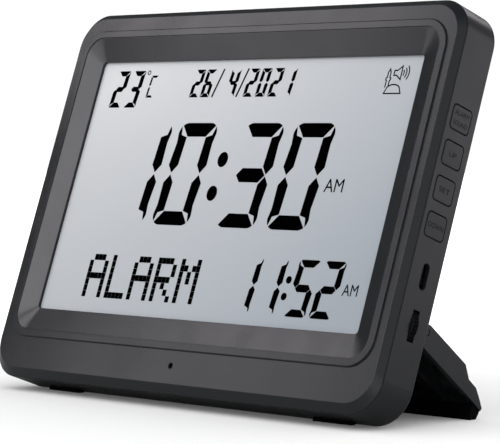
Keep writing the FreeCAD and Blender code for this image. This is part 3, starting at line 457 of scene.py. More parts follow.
@dataclass(frozen=True)
class Finishes:
    """A finish for every slot of the record, and those of the pieces made here."""

    bezel: Finish = Moulded((0.0100, 0.0124, 0.0150), rough=0.25, shine=0.45, edge=0.0003)
    case: Finish = Moulded((0.0100, 0.0116, 0.0138), rough=0.3, shine=0.42, edge=0.0003)
    key: Finish = Moulded((0.0095, 0.0110, 0.0130), rough=0.33, shine=0.42, grain_depth=0.000004)
    # Darker than the keys: painted shade standing in for the debossed words on the keys.
    label: Finish = Moulded((0.004, 0.004, 0.005), rough=0.6, shine=0.15, edge=0.0)
    ink_and_shade: Finish = Moulded((0.0006, 0.0006, 0.0007), rough=0.7, shine=0.0, edge=0.0)
    # Near black: painted shade for the hollows of the screws' cross recesses.
    cross_shade: Finish = Moulded((0.004, 0.004, 0.004), rough=0.8, shine=0.1, edge=0.0)
    gold: Finish = Metal((0.85, 0.6, 0.22), rough=0.25)
    # The display's near and far colours are painted light and shade: lit at its upper left, bluer
    # and darker towards its lower right.
    display: Finish = Glass(
        near=(0.75, 0.762, 0.78),
        far=(0.365, 0.408, 0.455),
        start=(-0.0704, 0.0063, 0.1192),
        run=(0.0954, -0.0401, -0.1132),
    )
    others: dict[Slot, Finish] = field(
        default_factory=lambda: {
            # Near black: painted shade standing in for the shade in the wheel rim's deep knurling.
            Slot.WHEEL: Moulded((0.002, 0.002, 0.002), rough=0.7, shine=0.08),
            Slot.DIFFUSER: Moulded((0.82, 0.85, 0.88), rough=0.3, shine=0.5),
            Slot.WHITE: Moulded((0.72, 0.72, 0.70), rough=0.5),
            Slot.CONTACT: Moulded((0.22, 0.22, 0.23), rough=0.75, shine=0.2),
            Slot.BOARD: Board((0.02, 0.14, 0.06), (0.05, 0.24, 0.10)),
            Slot.CHIP: Moulded((0.012, 0.012, 0.013), rough=0.6, shine=0.3),
            Slot.SENSOR: Moulded((0.004, 0.004, 0.006), rough=0.12, shine=0.5, grain_depth=0.0),
            Slot.CAN: Metal((0.62, 0.62, 0.65), rough=0.3),
            Slot.STEEL: Metal((0.60, 0.59, 0.57), rough=0.28),
            Slot.BLACK_STEEL: Metal((0.03, 0.03, 0.032), rough=0.38, metallic=0.6),
            Slot.SWITCH: Moulded((0.02, 0.02, 0.02), rough=0.5),
            Slot.PAPER: Moulded(
                (0.014, 0.014, 0.015), rough=0.9, shine=0.1, grain=0.0007, grain_depth=0.00003
            ),
            Slot.MAGNET: Moulded((0.05, 0.05, 0.055), rough=0.62, shine=0.4, grain_depth=0.00001),
            Slot.FOIL: Metal((0.60, 0.61, 0.63), rough=0.36, line=0.003, stretch=(1, 1, 1)),
            Slot.RUBBER: Moulded(
                (0.002, 0.002, 0.002), rough=0.85, shine=0.06, grain=0.0006, grain_depth=0.00001
            ),
        }
    )

    def table(self) -> dict[Slot, Material]:
        """Builds a material for every slot.

        Returns:
            The materials by their slots.
        """
        chosen = {
            Slot.BEZEL: self.bezel,
            Slot.CASE: self.case,
            Slot.LEG: self.case,
            Slot.KEY: self.key,
            Slot.DISPLAY: self.display,
            **self.others,
        }
        return {slot: finish.build(slot.value) for slot, finish in chosen.items()}


# The slab's frame and the flat faces that pieces lie on


@dataclass(frozen=True)
class Slab:
    """Where the leaning slab stands: lean in radians, origin in metres."""

    lean: float
    origin: Vector

    @classmethod
    def from_display(cls, display: Thing, lean: float, depth: float) -> Slab:
        """Finds the slab's origin from the display's own corners.

        Args:
            display: The display's CAD node.
            lean: The lean of the slab in radians.
            depth: How deep the display's surface lies behind the face, in millimetres.

        Returns:
            The slab.
        """
        turned = cls(lean, Vector((0, 0, 0)))
        low, high = turned.extent(display)
        middle = (low + high) / 2
        return cls(lean, turned.point(middle.x, middle.y, high.z + depth))

    @property
    def axes(self) -> Matrix:
        """The slab's three directions as the columns of a matrix."""
        cos, sin = math.cos(self.lean), math.sin(self.lean)
        return Matrix(((1, 0, 0), (0, sin, -cos), (0, cos, sin)))

    def point(self, across: float, up: float, out: float) -> Vector:
        """A point of the slab, given in millimetres, in the row frame."""
        return self.origin + self.axes @ Vector((across, up, out)) * MM

    def direction(self, across: float, up: float, out: float) -> Vector:
        """A direction of the slab in the row frame."""
        return (self.axes @ Vector((across, up, out))).normalized()

    def corners(self, part: Thing) -> list[Vector]:
        """The vertices of a part in the slab's frame, in millimetres."""
        back = self.axes.transposed()
        return [back @ (vertex.co - self.origin) / MM for vertex in part.data.vertices]

    def extent(self, part: Thing) -> tuple[Vector, Vector]:
        """The box round a part in the slab's frame.

        Args:
            part: The part.

        Returns:
            Its lowest and its highest corner in millimetres.
        """
        found = self.corners(part)
        low = Vector(min(corner[axis] for corner in found) for axis in range(3))
        high = Vector(max(corner[axis] for corner in found) for axis in range(3))
        return low, high


def middle_of(corners: Sequence[Vector], axis: int) -> float:
    """The middle of the extent of some corners along an axis."""
    values = [corner[axis] for corner in corners]
    return (min(values) + max(values)) / 2


class Facing(Enum):
    """Which way a flat face of the slab looks, as its rightward and upward directions."""

    FRONT = ((1, 0, 0), (0, 1, 0))
    RIGHT = ((0, 0, -1), (0, 1, 0))
    BACK = ((-1, 0, 0), (0, 1, 0))


@dataclass(frozen=True)
class Plane:
    """A flat face of the slab that films are laid on: its level and their lift above it."""

    slab: Slab
    facing: Facing
    level: float
    lift: float = 0.01

    def matrix(self) -> Matrix:
        """Turns a drawing in millimetres on this plane into the row frame.

        Returns:
            The matrix that does so.
        """
        right, up = (Vector(part) for part in self.facing.value)
        out = right.cross(up)
        base = self.slab.point(*(out * (self.level + self.lift)))
        columns = [self.slab.axes @ part * MM for part in (right, up, out)]
        return Matrix.Translation(base) @ Matrix(columns).transposed().to_4x4()


# Flat drawings that get a thickness


def full_turn(steps: int) -> list[float]:
    """The angles of even steps round a circle, in radians."""
    return [2 * math.pi * step / steps for step in range(steps)]


def around(centre: Point, radii: Point, turns: Iterable[float]) -> Outline:
    """Points of an oval at some angles in radians, from its centre and its two radii."""
    return [
        (centre[0] + radii[0] * math.cos(turn), centre[1] + radii[1] * math.sin(turn))
        for turn in turns
    ]


class Film:
    """Flat shapes on one plane, given a thickness and made into a single piece."""

    LETTER_STEPS = 6
    SHARPEST_MITRE = 0.35
    WELD = 1e-5

    def __init__(self, plane: Plane, thickness: float = 0.03) -> None:
        """Starts an empty film.

        Args:
            plane: The face that it lies on.
            thickness: Its thickness in millimetres.
        """
        self.plane = plane
        self.thickness = thickness
        self.mesh = bmesh.new()

    def polygon(self, outline: Sequence[Point]) -> None:
        """Adds one closed shape, given by its corners in order."""
        self.mesh.faces.new([self.mesh.verts.new((across, up, 0)) for across, up in outline])

    def box(self, left: float, low: float, right: float, top: float) -> None:
        """Adds a rectangle, given by its sides."""
        self.polygon([(left, low), (right, low), (right, top), (left, top)])

    def stroke(self, path: Sequence[Point], width: float, closed: bool = False) -> None:
        """Adds a line of even width along a path.

        Args:
            path: The points that it follows.
            width: Its width in millimetres.
            closed: Whether it ends where it began.
        """
        count = len(path)
        rails: list[tuple[bmesh.types.BMVert, bmesh.types.BMVert]] = []
        for index, (across, up) in enumerate(path):
            before = path[(index - 1) % count if closed else max(index - 1, 0)]
            after = path[(index + 1) % count if closed else min(index + 1, count - 1)]
            into = Vector((across - before[0], up - before[1])).normalized()
            away = Vector((after[0] - across, after[1] - up)).normalized()
            into = into if into.length else away
            away = away if away.length else into
            along = (into + away).normalized()
            reach = width / 2 / max(self.SHARPEST_MITRE, along.dot(away))
            side = Vector((-along.y, along.x)) * reach
            left = self.mesh.verts.new((across + side.x, up + side.y, 0))
            right = self.mesh.verts.new((across - side.x, up - side.y, 0))
            rails.append((left, right))
        last = count if closed else count - 1
        for index in range(last):
            (left, right), (far_left, far_right) = rails[index], rails[(index + 1) % count]
            self.mesh.faces.new((right, far_right, far_left, left))

    def words(self, text: str, corner: Point, size: Point) -> None:
        """Adds plain letters that fill a box.

        Args:
            text: The letters.
            corner: The lower left corner of the box.
            size: The width and height of the box.
        """
        curve = bpy.data.curves.new("letters", "FONT")
        curve.body = text
        curve.resolution_u = self.LETTER_STEPS
        holder = put("letters", curve)
        drawn = holder.evaluated_get(bpy.context.evaluated_depsgraph_get())
        flat = bpy.data.meshes.new_from_object(drawn)
        across, up = ([vertex.co[axis] for vertex in flat.vertices] for axis in range(2))
        wide, tall = max(across) - min(across), max(up) - min(up)
        scale = Matrix.Diagonal((size[0] / wide, size[1] / tall, 1, 1))
        home = Matrix.Translation((-min(across), -min(up), 0))
        flat.transform(Matrix.Translation((*corner, 0)) @ scale @ home)
        self.mesh.from_mesh(flat)
        bpy.data.objects.remove(holder)
        bpy.data.curves.remove(curve)
        bpy.data.meshes.remove(flat)

    def lay(self, name: str, body: Body, material: Material) -> None:
        """Gives the shapes their thickness and lays them on the clock.

        Args:
            name: The name of the piece.
            body: The CAD body that it rides on.
            material: Its finish.
        """
        mesh = self.mesh
        bmesh.ops.remove_doubles(mesh, verts=mesh.verts[:], dist=self.WELD)
        bmesh.ops.recalc_face_normals(mesh, faces=mesh.faces[:])
        copied = bmesh.ops.extrude_face_region(mesh, geom=mesh.faces[:], use_keep_orig=True)
        raised = [part for part in copied["geom"] if isinstance(part, bmesh.types.BMVert)]
        bmesh.ops.translate(mesh, verts=raised, vec=(0, 0, self.thickness))
        bmesh.ops.recalc_face_normals(mesh, faces=mesh.faces[:])
        data = bpy.data.meshes.new(name)
        mesh.to_mesh(data)
        mesh.free()
        data.transform(self.plane.matrix())
        data.materials.append(material)
        piece = put(name, data)
        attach(piece, body.value)
        LOG.info("%s: %d faces on %s", name, len(data.polygons), body.value)


# The display's artwork, in millimetres from the middle of the display


@dataclass(frozen=True)
class DigitForm:
    """The form of a seven segment digit in millimetres, and how its ends are pointed.

    The point is a share of an upright's width, the clear one of the gap, and the slope one
    of half the bar.
    """

    width: float
    height: float
    upright: float
    bar: float
    corner: float
    gap: float
    slant: float
    point: float = 0.62
    clear: float = 0.7
    slope: float = 0.9
    steps: int = 5

    @property
    def slack(self) -> float:
        """Half the gap between two segments at a rounded corner, in degrees."""
        return math.degrees(self.gap / 2 / self.corner)

    def bend(self, degrees: float) -> Point:
        """A point of the upper right corner's rounding, by its turn from the right side."""
        turn = math.radians(degrees)
        return (
            self.width / 2 - self.corner + self.corner * math.cos(turn),
            self.height / 2 - self.corner + self.corner * math.sin(turn),
        )

    def top(self) -> Outline:
        """The upper bar.

        Returns:
            Its outline.
        """
        reach = DIAGONAL - self.slack
        inner = (self.width / 2 - self.upright - self.gap / 2, self.height / 2 - self.bar)
        right = [inner]
        for step in range(self.steps + 1):
            right.append(self.bend(DIAGONAL + self.slack + reach * step / self.steps))
        return right + [(-across, up) for across, up in reversed(right)]

    def upper_right(self) -> Outline:
        """The upright of the upper right side.

        Returns:
            Its outline.
        """
        reach = DIAGONAL - self.slack
        outer, inner = self.width / 2, self.width / 2 - self.upright
        tip = self.gap * self.clear
        shoulder = tip + self.upright * self.point
        return [
            (inner, self.height / 2 - self.bar - self.gap / 2),
            (inner, shoulder),
            ((inner + outer) / 2, tip),
            (outer, shoulder),
            *(self.bend(reach * step / self.steps) for step in range(self.steps, -1, -1)),
        ]

    def middle(self) -> Outline:
        """The middle bar.

        Returns:
            Its outline.
        """
        tip = self.width / 2 - self.upright / 2 - self.gap * self.clear
        half = self.bar / 2
        shoulder = tip - half * self.slope
        upper = [(-tip, 0), (-shoulder, half), (shoulder, half)]
        return upper + [(-across, -up) for across, up in upper]

    def segment(self, letter: str) -> Outline:
        """One segment.

        Args:
            letter: Its usual letter, a to g.

        Returns:
            Its outline.
        """
        drawn = {"a": self.top, "d": self.top, "g": self.middle}.get(letter, self.upper_right)()
        flip_across = -1 if letter in "ef" else 1
        flip_up = -1 if letter in "cde" else 1
        return [(across * flip_across, up * flip_up) for across, up in drawn]


class Digits(Enum):
    """The forms of digits on the display."""

    BIG = DigitForm(20.3, 40.1, upright=5.0, bar=5.4, corner=4.2, gap=0.5, slant=0.074)
    LARGE = DigitForm(
        10.3, 20.8, upright=2.8, bar=2.75, corner=1.7, gap=0.24, slant=0.085, point=0.5
    )
    MEDIUM = DigitForm(
        6.7, 15.0, upright=2.2, bar=2.1, corner=0.85, gap=0.14, slant=0.095, point=0.4
    )
    SMALL = DigitForm(
        5.0, 11.1, upright=1.7, bar=1.6, corner=0.65, gap=0.12, slant=0.095, point=0.4
    )
    UNIT = DigitForm(3.8, 9.0, upright=0.95, bar=0.95, corner=0.45, gap=0.12, slant=0.085)


# The lit segments of every sign
LIT: dict[str, str] = {
    "0": "abcdef",
    "1": "bc",
    "2": "abged",
    "3": "abgcd",
    "4": "fgbc",
    "5": "afgcd",
    "6": "afgedc",
    "C": "afed",
}

# The lit dots of every letter, row by row from the top
DOTS: dict[str, tuple[str, ...]] = {
    "A": ("01110", "10001", "10001", "11111", "10001", "10001", "10001"),
    "L": ("10000", "10000", "10000", "10000", "10000", "10000", "11111"),
    "R": ("11110", "10001", "10001", "11110", "10100", "10010", "10001"),
    "M": ("10001", "11011", "10101", "10101", "10001", "10001", "10001"),
}


@dataclass(frozen=True)
class DigitRow:
    """Digits in a row: their signs, the middle of each and the height of the row."""

    name: str
    signs: str
    middles: tuple[float, ...]
    level: float
    digits: Digits

    def draw(self, film: Film) -> None:
        """Adds every lit segment.

        Args:
            film: The film.
        """
        form = self.digits.value
        for sign, middle in zip(self.signs, self.middles):
            for outline in map(form.segment, LIT[sign]):
                film.polygon([(middle + x + form.slant * y, self.level + y) for x, y in outline])


@dataclass(frozen=True)
class DotWord:
    """A word in five by seven dots: its left and its top, and the sizes of a dot."""

    name: str
    text: str
    left: float
    top: float
    letter_pitch: float
    dot: Point
    pitch: Point

    def draw(self, film: Film) -> None:
        """Adds every lit dot.

        Args:
            film: The film.
        """
        for place, letter in enumerate(self.text):
            for row, line in enumerate(DOTS[letter]):
                for column, lit in enumerate(line):
                    if lit == "0":
                        continue
                    left = self.left + place * self.letter_pitch + column * self.pitch[0]
                    top = self.top - row * self.pitch[1]
                    film.box(left, top - self.dot[1], left + self.dot[0], top)


@dataclass(frozen=True)
class Lines:
    """Lines of one width, either all open or all closed."""

    name: str
    paths: tuple[Sequence[Point], ...]
    width: float
    closed: bool = False

    def draw(self, film: Film) -> None:
        """Adds every line."""
        for path in self.paths:
            film.stroke(path, self.width, self.closed)


@dataclass(frozen=True)
class Ovals:
    """Filled ovals of one size."""

    name: str
    centres: tuple[Point, ...]
    radii: Point
    steps: int = 40

    def draw(self, film: Film) -> None:
        """Adds every oval."""
        for centre in self.centres:
            film.polygon(around(centre, self.radii, full_turn(self.steps)))


@dataclass(frozen=True)
class Caption:
    """Letters that fill a box, given by its lower left corner and its size."""

    name: str
    text: str
    corner: Point
    size: Point

    def draw(self, film: Film) -> None:
        """Adds the letters."""
        film.words(self.text, self.corner, self.size)


@dataclass(frozen=True)
class Dome:
    """The outline of a dome, flatter than an oval, and half the outline of its tower."""

    name: str
    line: float = 0.48
    centre: Point = (71.2, 37.2)
    radii: Point = (3.3, 2.5)
    fullness: float = 0.8
    steps: int = 12
    skipped: int = 2
    foot: tuple[Point, Point] = ((67.3, 36.4), (75.1, 36.4))
    tower: tuple[Point, ...] = (
        (67.3, 38.6), (67.3, 41.2), (66.9, 41.5), (66.9, 42.1),
        (67.4, 42.4), (67.4, 44.3), (68.0, 45.5),
    )

    def draw(self, film: Film) -> None:
        """Adds the dome and its tower, whose last point is its middle.

        Args:
            film: The film.
        """
        hill = []
        for step in range(self.skipped, self.steps + 1 - self.skipped):
            turn = math.pi * step / self.steps
            across = self.centre[0] - self.radii[0] * math.cos(turn)
            hill.append((across, self.centre[1] + self.radii[1] * math.sin(turn) ** self.fullness))
        left, right = self.foot
        film.stroke([left, *hill, right], self.line, closed=True)
        whole = 2 * self.tower[-1][0]
        mirror = [(whole - across, up) for across, up in reversed(self.tower[:-1])]
        film.stroke([*self.tower, *mirror], self.line)


@dataclass(frozen=True)
class Speaker:
    """The outline of a loudspeaker and the waves that leave it, to a spread in degrees."""

    name: str
    line: float = 0.48
    horn: tuple[Point, ...] = (
        (70.2, 43.1), (71.5, 43.1), (73.6, 41.5),
        (73.6, 46.5), (71.5, 44.9), (70.2, 44.9),
    )
    mouth: Point = (73.0, 44.0)
    waves: tuple[float, ...] = (1.7, 2.9, 4.1)
    spread: int = 38
    steps: int = 10

    def draw(self, film: Film) -> None:
        """Adds the loudspeaker and its waves.

        Args:
            film: The film.
        """
        film.stroke(self.horn, self.line, closed=True)
        steps = range(self.steps + 1)
        degrees = [-self.spread + 2 * self.spread * step / self.steps for step in steps]
        turns = [math.radians(turn) for turn in degrees]
        for radius in self.waves:
            film.stroke(around(self.mouth, (radius, radius), turns), self.line)


Sign = DigitRow | DotWord | Lines | Ovals | Caption | Dome | Speaker


@dataclass(frozen=True)
class Display:
    """The lit signs of the display."""

    signs: tuple[Sign, ...] = (
        DigitRow("time_segments", "1030", (-46.75, -22.35, 12.15, 37.75), 5.45, Digits.BIG),
        DigitRow("call_time_segments", "1152", (24.0, 36.3, 51.9, 64.0), -35.4, Digits.LARGE),
        DigitRow("temperature_segments", "23", (-71.3, -62.6), 39.3, Digits.MEDIUM),
        DigitRow("temperature_unit", "C", (-53.2,), 40.3, Digits.UNIT),
        DigitRow(
            "date_segments", "2642021", (-28.2, -22.3, -9.1, 0.6, 6.9, 13.3, 19.9), 41.25,
            Digits.SMALL,
        ),
        DotWord(
            "call_name_dots", "ALARM", left=-61.8, top=-27.2,
            letter_pitch=12.55, dot=(2.03, 2.35), pitch=(2.1, 2.42),
        ),
        Lines("date_strokes", (((-18.7, 35.7), (-15.4, 46.9)), ((-5.8, 35.7), (-2.5, 46.9))), 0.8),
        Ovals("time_dots", ((-4.1, 11.3), (-5.3, -1.8)), radii=(2.6, 2.95)),
        Ovals("call_time_dots", ((44.4, -32.6), (43.9, -38.7)), radii=(1.35, 1.4)),
        Lines("degree_ring", (around((-56.7, 46.0), (0.75, 0.75), full_turn(24)),), 0.4, True),
        Caption("time_suffix", "AM", corner=(50.3, -0.1), size=(9.0, 4.9)),
        Caption("call_time_suffix", "AM", corner=(70.8, -37.0), size=(7.1, 4.1)),
        Dome("dome_sign"),
        Speaker("sound_sign"),
    )

    def build(self, slab: Slab, glass: Thing, ink_and_shade: Material) -> None:
        """Lays every sign on the display.

        Args:
            slab: The slab.
            glass: The display's CAD node.
            ink_and_shade: The finish of the signs.
        """
        plane = Plane(slab, Facing.FRONT, slab.extent(glass)[1].z)
        for sign in self.signs:
            film = Film(plane)
            sign.draw(film)
            film.lay(sign.name, Body.CASE, ink_and_shade)


# Key words and screw recesses in painted shade, and socket contacts


@dataclass(frozen=True)
class Label:
    """The words on a key: every line with its width, the height and pitch of the lines."""

    body: Body
    lines: tuple[tuple[str, float], ...]
    height: float = 1.85
    pitch: float = 3.6


@dataclass(frozen=True)
class Keys:
    """The words on the four keys, in millimetres, drawn dark as painted shade for their debossing.
    """

    labels: tuple[Label, ...] = (
        Label(Body.ALARM, (("ALARM", 7.6), ("SOUND", 7.6)), height=1.75),
        Label(Body.UP, (("UP", 3.8),)),
        Label(Body.SET, (("SET", 5.8),)),
        Label(Body.DOWN, (("DOWN", 7.9),)),
    )
    lift: float = 0.004
    thickness: float = 0.012

    def build(self, slab: Slab, nodes: dict[str, Thing], ink_and_shade: Material) -> None:
        """Lays the words of every key in the middle of its own face.

        Args:
            slab: The slab.
            nodes: The CAD nodes by their names.
            ink_and_shade: The finish of the words.
        """
        for label in self.labels:
            corners = slab.corners(nodes[label.body.value])
            level = max(corner.x for corner in corners)
            face = [corner for corner in corners if corner.x > level - TOUCH]
            inward, up = -middle_of(face, 2), middle_of(face, 1)
            film = Film(Plane(slab, Facing.RIGHT, level, self.lift), self.thickness)
            first = up + label.pitch * (len(label.lines) - 1) / 2
            for row, (text, width) in enumerate(label.lines):
                base = first - row * label.pitch - label.height / 2
                film.words(text, (inward - width / 2, base), (width, label.height))
            film.lay(f"{label.body.value}_words", label.body, ink_and_shade)


@dataclass(frozen=True)
class CrossShades:
    """Dark crosses of painted shade for the recesses in the heads of the four case screws, in
    millimetres.
    """

    reach: float = 1.35
    arm: float = 0.42
    thickness: float = 0.02

    def build(self, slab: Slab, screws: Thing, material: Material) -> None:
        """Lays a dark cross of painted shade on every screw's head.

        Args:
            slab: The slab.
            screws: The CAD node of the four screws, one in each quarter of the slab.
            material: The finish of the crosses, a near black painted shade.
        """
        corners = slab.corners(screws)
        level = min(corner.z for corner in corners)
        ends = [corner for corner in corners if corner.z < level + TOUCH]
        film = Film(Plane(slab, Facing.BACK, -level), self.thickness)
        for side in (-1, 1):
            for half in (-1, 1):
                head = [end for end in ends if end.x * side > 0 and end.y * half > 0]
                film.polygon(self.cross(-middle_of(head, 0), middle_of(head, 1)))
        film.lay("case_screw_cross_shades", Body.CASE, material)

    def cross(self, across: float, up: float) -> Outline:
        """One cross.

        Args:
            across: Its middle, across.
            up: Its middle, up.

        Returns:
            Its outline.
        """
        quarter = [(self.reach, -self.arm), (self.reach, self.arm), (self.arm, self.arm)]
        outline: Outline = []
        for cos, sin in ((1, 0), (0, 1), (-1, 0), (0, -1)):
            outline += [(across + x * cos - y * sin, up + x * sin + y * cos) for x, y in quarter]
        return outline


@dataclass(frozen=True)
class Contacts:
    """Gilt contacts on the front face of the charging socket's tongue, in millimetres.

    They take a share of the tongue's length, and go from inner to outer behind its end.
    """

    count: int = 10
    width: float = 0.25
    share: float = 0.82
    inner: float = 3.6
    outer: float = 0.5
    lift: float = 0.004
    thickness: float = 0.02

    def build(self, slab: Slab, tongue: Thing, material: Material) -> None:
        """Lays a row of contacts on the tongue.

        Args:
            slab: The slab.
            tongue: The tongue's CAD node.
            material: The finish of the contacts.
        """
        low, high = slab.extent(tongue)
        film = Film(Plane(slab, Facing.FRONT, high.z, self.lift), self.thickness)
        pitch = (high.y - low.y) * self.share / self.count
        first = (high.y + low.y) / 2 - pitch * (self.count - 1) / 2
        left, right = high.x - self.inner, high.x - self.outer
        for index in range(self.count):
            up = first + index * pitch
            film.box(left, up - self.width / 2, right, up + self.width / 2)
        film.lay("port_contacts", Body.CASE, material)


# The studio, in metres


@dataclass(frozen=True)
class Card:
    """A square area light, seen in the sheen only, whose way is that from the clock."""

    name: str
    way: Triple
    distance: float
    side: float
    radiance: float
    tint: Colour = (1.0, 0.94, 0.99)

    def build(self, target: Vector) -> None:
        """Hangs the card so that it looks at a point.

        Args:
            target: The point.
        """
        data = bpy.data.lights.new(self.name, "AREA")
        data.shape = "SQUARE"
        data.size = self.side
        data.energy = math.pi * self.side**2 * self.radiance
        data.color = self.tint
        card = put(self.name, data)
        way = Vector(self.way).normalized()
        card.visible_diffuse = False
        card.location = target + way * self.distance
        card.rotation_euler = way.to_track_quat("Z", "Y").to_euler()


@dataclass(frozen=True)
class Glow:
    """A soft part of the sky: its strength and the way to it.

    It starts at one cosine to that way and is full at another. The values below a cosine's
    least make it fill the whole sky evenly.
    """

    strength: float
    way: Triple = (0.0, 0.0, 1.0)
    start: float = -3.0
    full: float = -2.0

    def build(self, wiring: Wiring, place: Node) -> Node:
        """Makes the glow in a world's node tree.

        Args:
            wiring: The world's node tree.
            place: The node that gives the ways of the sky.

        Returns:
            The node of its level.
        """
        towards = wiring.add("ShaderNodeVectorMath", operation="DOT_PRODUCT")
        wiring.join(place, "Generated", towards, 0)
        towards.inputs[1].default_value = Vector(self.way).normalized()
        share = wiring.add(
            "ShaderNodeMapRange", interpolation_type="SMOOTHSTEP",
            From_Min=self.start, From_Max=self.full, To_Min=0.0, To_Max=self.strength,
        )
        wiring.join(towards, "Value", share, "Value")
        return share


@dataclass(frozen=True)
class Sky:
    """A sky that has its own glows to the camera, in diffuse light and in the sheen."""

    seen: tuple[Glow, ...] = (Glow(1.05),)
    ambient: tuple[Glow, ...] = (Glow(1.15),)
    sheen: tuple[Glow, ...] = (
        Glow(0.1),
        Glow(1.6, (0.05, -0.9, 0.42), 0.66, 0.99),
        Glow(0.12, (0.3, 0.9, 0.3), 0.3, 0.95),
    )

    def build(self) -> None:
        """Sets the world, with every glow added to those before it."""
        world = bpy.data.worlds.new("sky")
        world.use_nodes = True
        wiring = Wiring(world.node_tree)
        place = wiring.add("ShaderNodeTexCoord")
        rays = wiring.add("ShaderNodeLightPath")
        kinds = {
            "Is Camera Ray": self.seen,
            "Is Diffuse Ray": self.ambient,
            "Is Glossy Ray": self.sheen,
        }
        last: Node | None = None
        for ray, glows in kinds.items():
            for glow in glows:
                total = wiring.add("ShaderNodeMath", operation="MULTIPLY_ADD")
                wiring.join(rays, ray, total, 0)
                wiring.join(glow.build(wiring, place), 0, total, 1)
                total.inputs[2].default_value = 0.0
                if last is not None:
                    wiring.join(last, 0, total, 2)
                last = total
        sky = world.node_tree.nodes["Background"]
        sky.inputs["Color"].default_value = (1, 1, 1, 1)
        wiring.join(last, 0, sky, "Strength")
        scene = bpy.context.scene
        scene.world = world
        scene.view_settings.view_transform = "Standard"


@dataclass(frozen=True)
class Floor:
    """A floor wider than any view of the clock, white to the camera and grey in its bounces.

    Its glow to the camera rises with the way from the clock, between near and far.
    """

    side: float = 8.0
    white: Colour = (0.9, 0.9, 0.9)
    bounce: Colour = (0.4, 0.4, 0.4)
    cloud: float = 0.4
    mottle: float = 0.01
    rough: float = 0.95
    near: float = 0.12
    far: float = 0.4
    near_glow: float = 0.05
    far_glow: float = 0.6

    def build(self) -> None:
        """Lays the floor."""
        mesh = bmesh.new()
        bmesh.ops.create_grid(mesh, x_segments=1, y_segments=1, size=self.side / 2)
        data = bpy.data.meshes.new("floor")
        mesh.to_mesh(data)
        mesh.free()
        data.materials.append(self.material())
        floor = put("floor", data)

    def material(self) -> Material:
        """Makes the floor's material.

        Returns:
            The material.
        """
        graph = Graph("floor_white")
        rays = graph.add("ShaderNodeLightPath")
        colour = graph.mix(self.bounce, self.white)
        graph.join(rays, "Is Camera Ray", colour, FACTOR)
        mottled = graph.tint(self.white, graph.noise(self.cloud), self.mottle)
        graph.join(mottled, MIXED, colour, SECOND)
        graph.join(colour, MIXED, graph.shader, "Base Color")
        graph.settle(Roughness=self.rough, Specular_IOR_Level=0.0, Emission_Color=(1, 1, 1, 1))
        reach = graph.add("ShaderNodeVectorMath", operation="LENGTH")
        graph.join(graph.place, "Object", reach, 0)
        rise = graph.add(
            "ShaderNodeMapRange", interpolation_type="SMOOTHSTEP",
            From_Min=self.near, From_Max=self.far, To_Min=self.near_glow, To_Max=self.far_glow,
        )
        graph.join(reach, "Value", rise, "Value")
        glow = graph.add("ShaderNodeMath", operation="MULTIPLY")
        graph.join(rise, 0, glow, 0)
        graph.join(rays, "Is Camera Ray", glow, 1)
        graph.join(glow, 0, graph.shader, "Emission Strength")
        return graph.material


@dataclass(frozen=True)
class View:
    """The photograph's camera in the slab's frame, with its eye in millimetres."""

    eye: Triple = (641.1, -187.83, 589.81)
    right: Triple = (0.7034, 0.2412, -0.6686)
    down: Triple = (0.0289, -0.9496, -0.3122)
    lens: float = 176.4
    sensor: float = 36.0
    clip_end: float = 50.0

    def build(self, slab: Slab) -> None:
        """Sets the camera.

        Args:
            slab: The slab.
        """
        data = bpy.data.cameras.new("photo_camera")
        data.lens = self.lens
        data.sensor_width = self.sensor
        data.clip_end = self.clip_end
        camera = put("photo_camera", data)
        right = slab.direction(*self.right)
        up = -slab.direction(*self.down)
        up = (up - right * up.dot(right)).normalized()
        turn = Matrix((right, up, right.cross(up))).transposed().to_4x4()
        camera.matrix_world = Matrix.Translation(slab.point(*self.eye)) @ turn
        bpy.context.scene.camera = camera


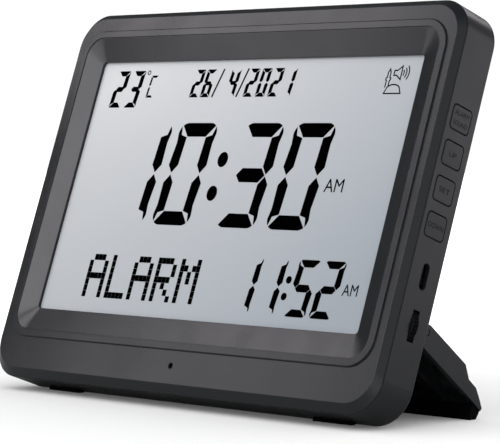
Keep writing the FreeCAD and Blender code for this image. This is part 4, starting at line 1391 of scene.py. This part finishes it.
@dataclass(frozen=True)
class Studio:
    """The floor, the sky, the cards and the camera."""

    floor: Floor = Floor()
    sky: Sky = Sky()
    cards: tuple[Card, ...] = (
        Card("high_card", (-0.603, -0.403, 0.523), distance=0.54, side=0.2, radiance=2.9),
        Card("low_card", (-0.70, -0.675, 0.222), distance=0.42, side=0.16, radiance=1.7),
        Card("front_card", (-0.11, -0.85, 0.51), distance=1.1, side=0.65, radiance=2.8),
        Card("side_card", (0.7, 0.7, 0.08), distance=0.8, side=0.5, radiance=1.0),
        Card("back_card", (-0.066, 0.79, 0.594), distance=1.0, side=0.3, radiance=4.0),
    )
    view: View = View()

    def build(self, slab: Slab) -> None:
        """Sets all of them.

        Args:
            slab: The slab.
        """
        self.floor.build()
        self.sky.build()
        for card in self.cards:
            card.build(slab.origin)
        self.view.build(slab)


# The whole clock


@dataclass(frozen=True)
class Clock:
    """The clock: how far its slab leans, how deep its display lies, and what it is dressed in.

    A face of the wheel is flat where its normal is within this cosine of the slab's.
    """

    lean: float = math.radians(19.5)
    display_depth: float = 2.25
    flat_cosine: float = 0.9
    finishes: Finishes = field(default_factory=Finishes)
    display: Display = Display()
    keys: Keys = Keys()
    cross_shades: CrossShades = CrossShades()
    contacts: Contacts = Contacts()
    studio: Studio = Studio()

    def build(self, frame: dict) -> None:
        """Dresses the CAD nodes and adds what only the looks need.

        Args:
            frame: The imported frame, with its nodes and its record.
        """
        nodes = frame["nodes"]
        glass, looks = nodes["display_glass"], self.finishes
        slab = Slab.from_display(glass, self.lean, self.display_depth)
        LOG.info("slab origin %s", [round(part, 5) for part in slab.origin])
        self.dress(slab, nodes, frame["record"])
        self.display.build(slab, glass, looks.ink_and_shade.build("display_ink"))
        self.keys.build(slab, nodes, looks.label.build("key_words"))
        self.cross_shades.build(slab, nodes["case_screws"], looks.cross_shade.build("screw_cross_shade"))
        self.contacts.build(slab, nodes["port_tongue"], looks.gold.build("gilt"))
        self.studio.build(slab)

    def dress(self, slab: Slab, nodes: dict[str, Thing], record: dict) -> None:
        """Gives every CAD node the finish of its slot, and the wheel's flat faces the keys'.

        Args:
            slab: The slab.
            nodes: The CAD nodes by their names.
            record: The record, whose rows name the slot of every node.
        """
        materials = self.finishes.table()
        for row in record["subparts"]:
            node = nodes[row["node"]]
            node.data.materials.clear()
            node.data.materials.append(materials[Slot(row["material_slot"])])
            LOG.info("%s: %s", row["node"], row["material_slot"])
        # The wheel's rim keeps its slot's near black finish, painted shade for its knurling.
        wheel = nodes["volume_wheel"].data
        wheel.materials.append(materials[Slot.KEY])
        out = slab.direction(0, 0, 1)
        for face in wheel.polygons:
            face.material_index = int(abs(face.normal.dot(out)) > self.flat_cosine)


def main() -> None:
    """Builds the scene."""
    logging.basicConfig(level=logging.INFO, format="%(name)s: %(message)s")
    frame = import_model()
    Clock().build(frame)


if __name__ == "__main__":
    main()
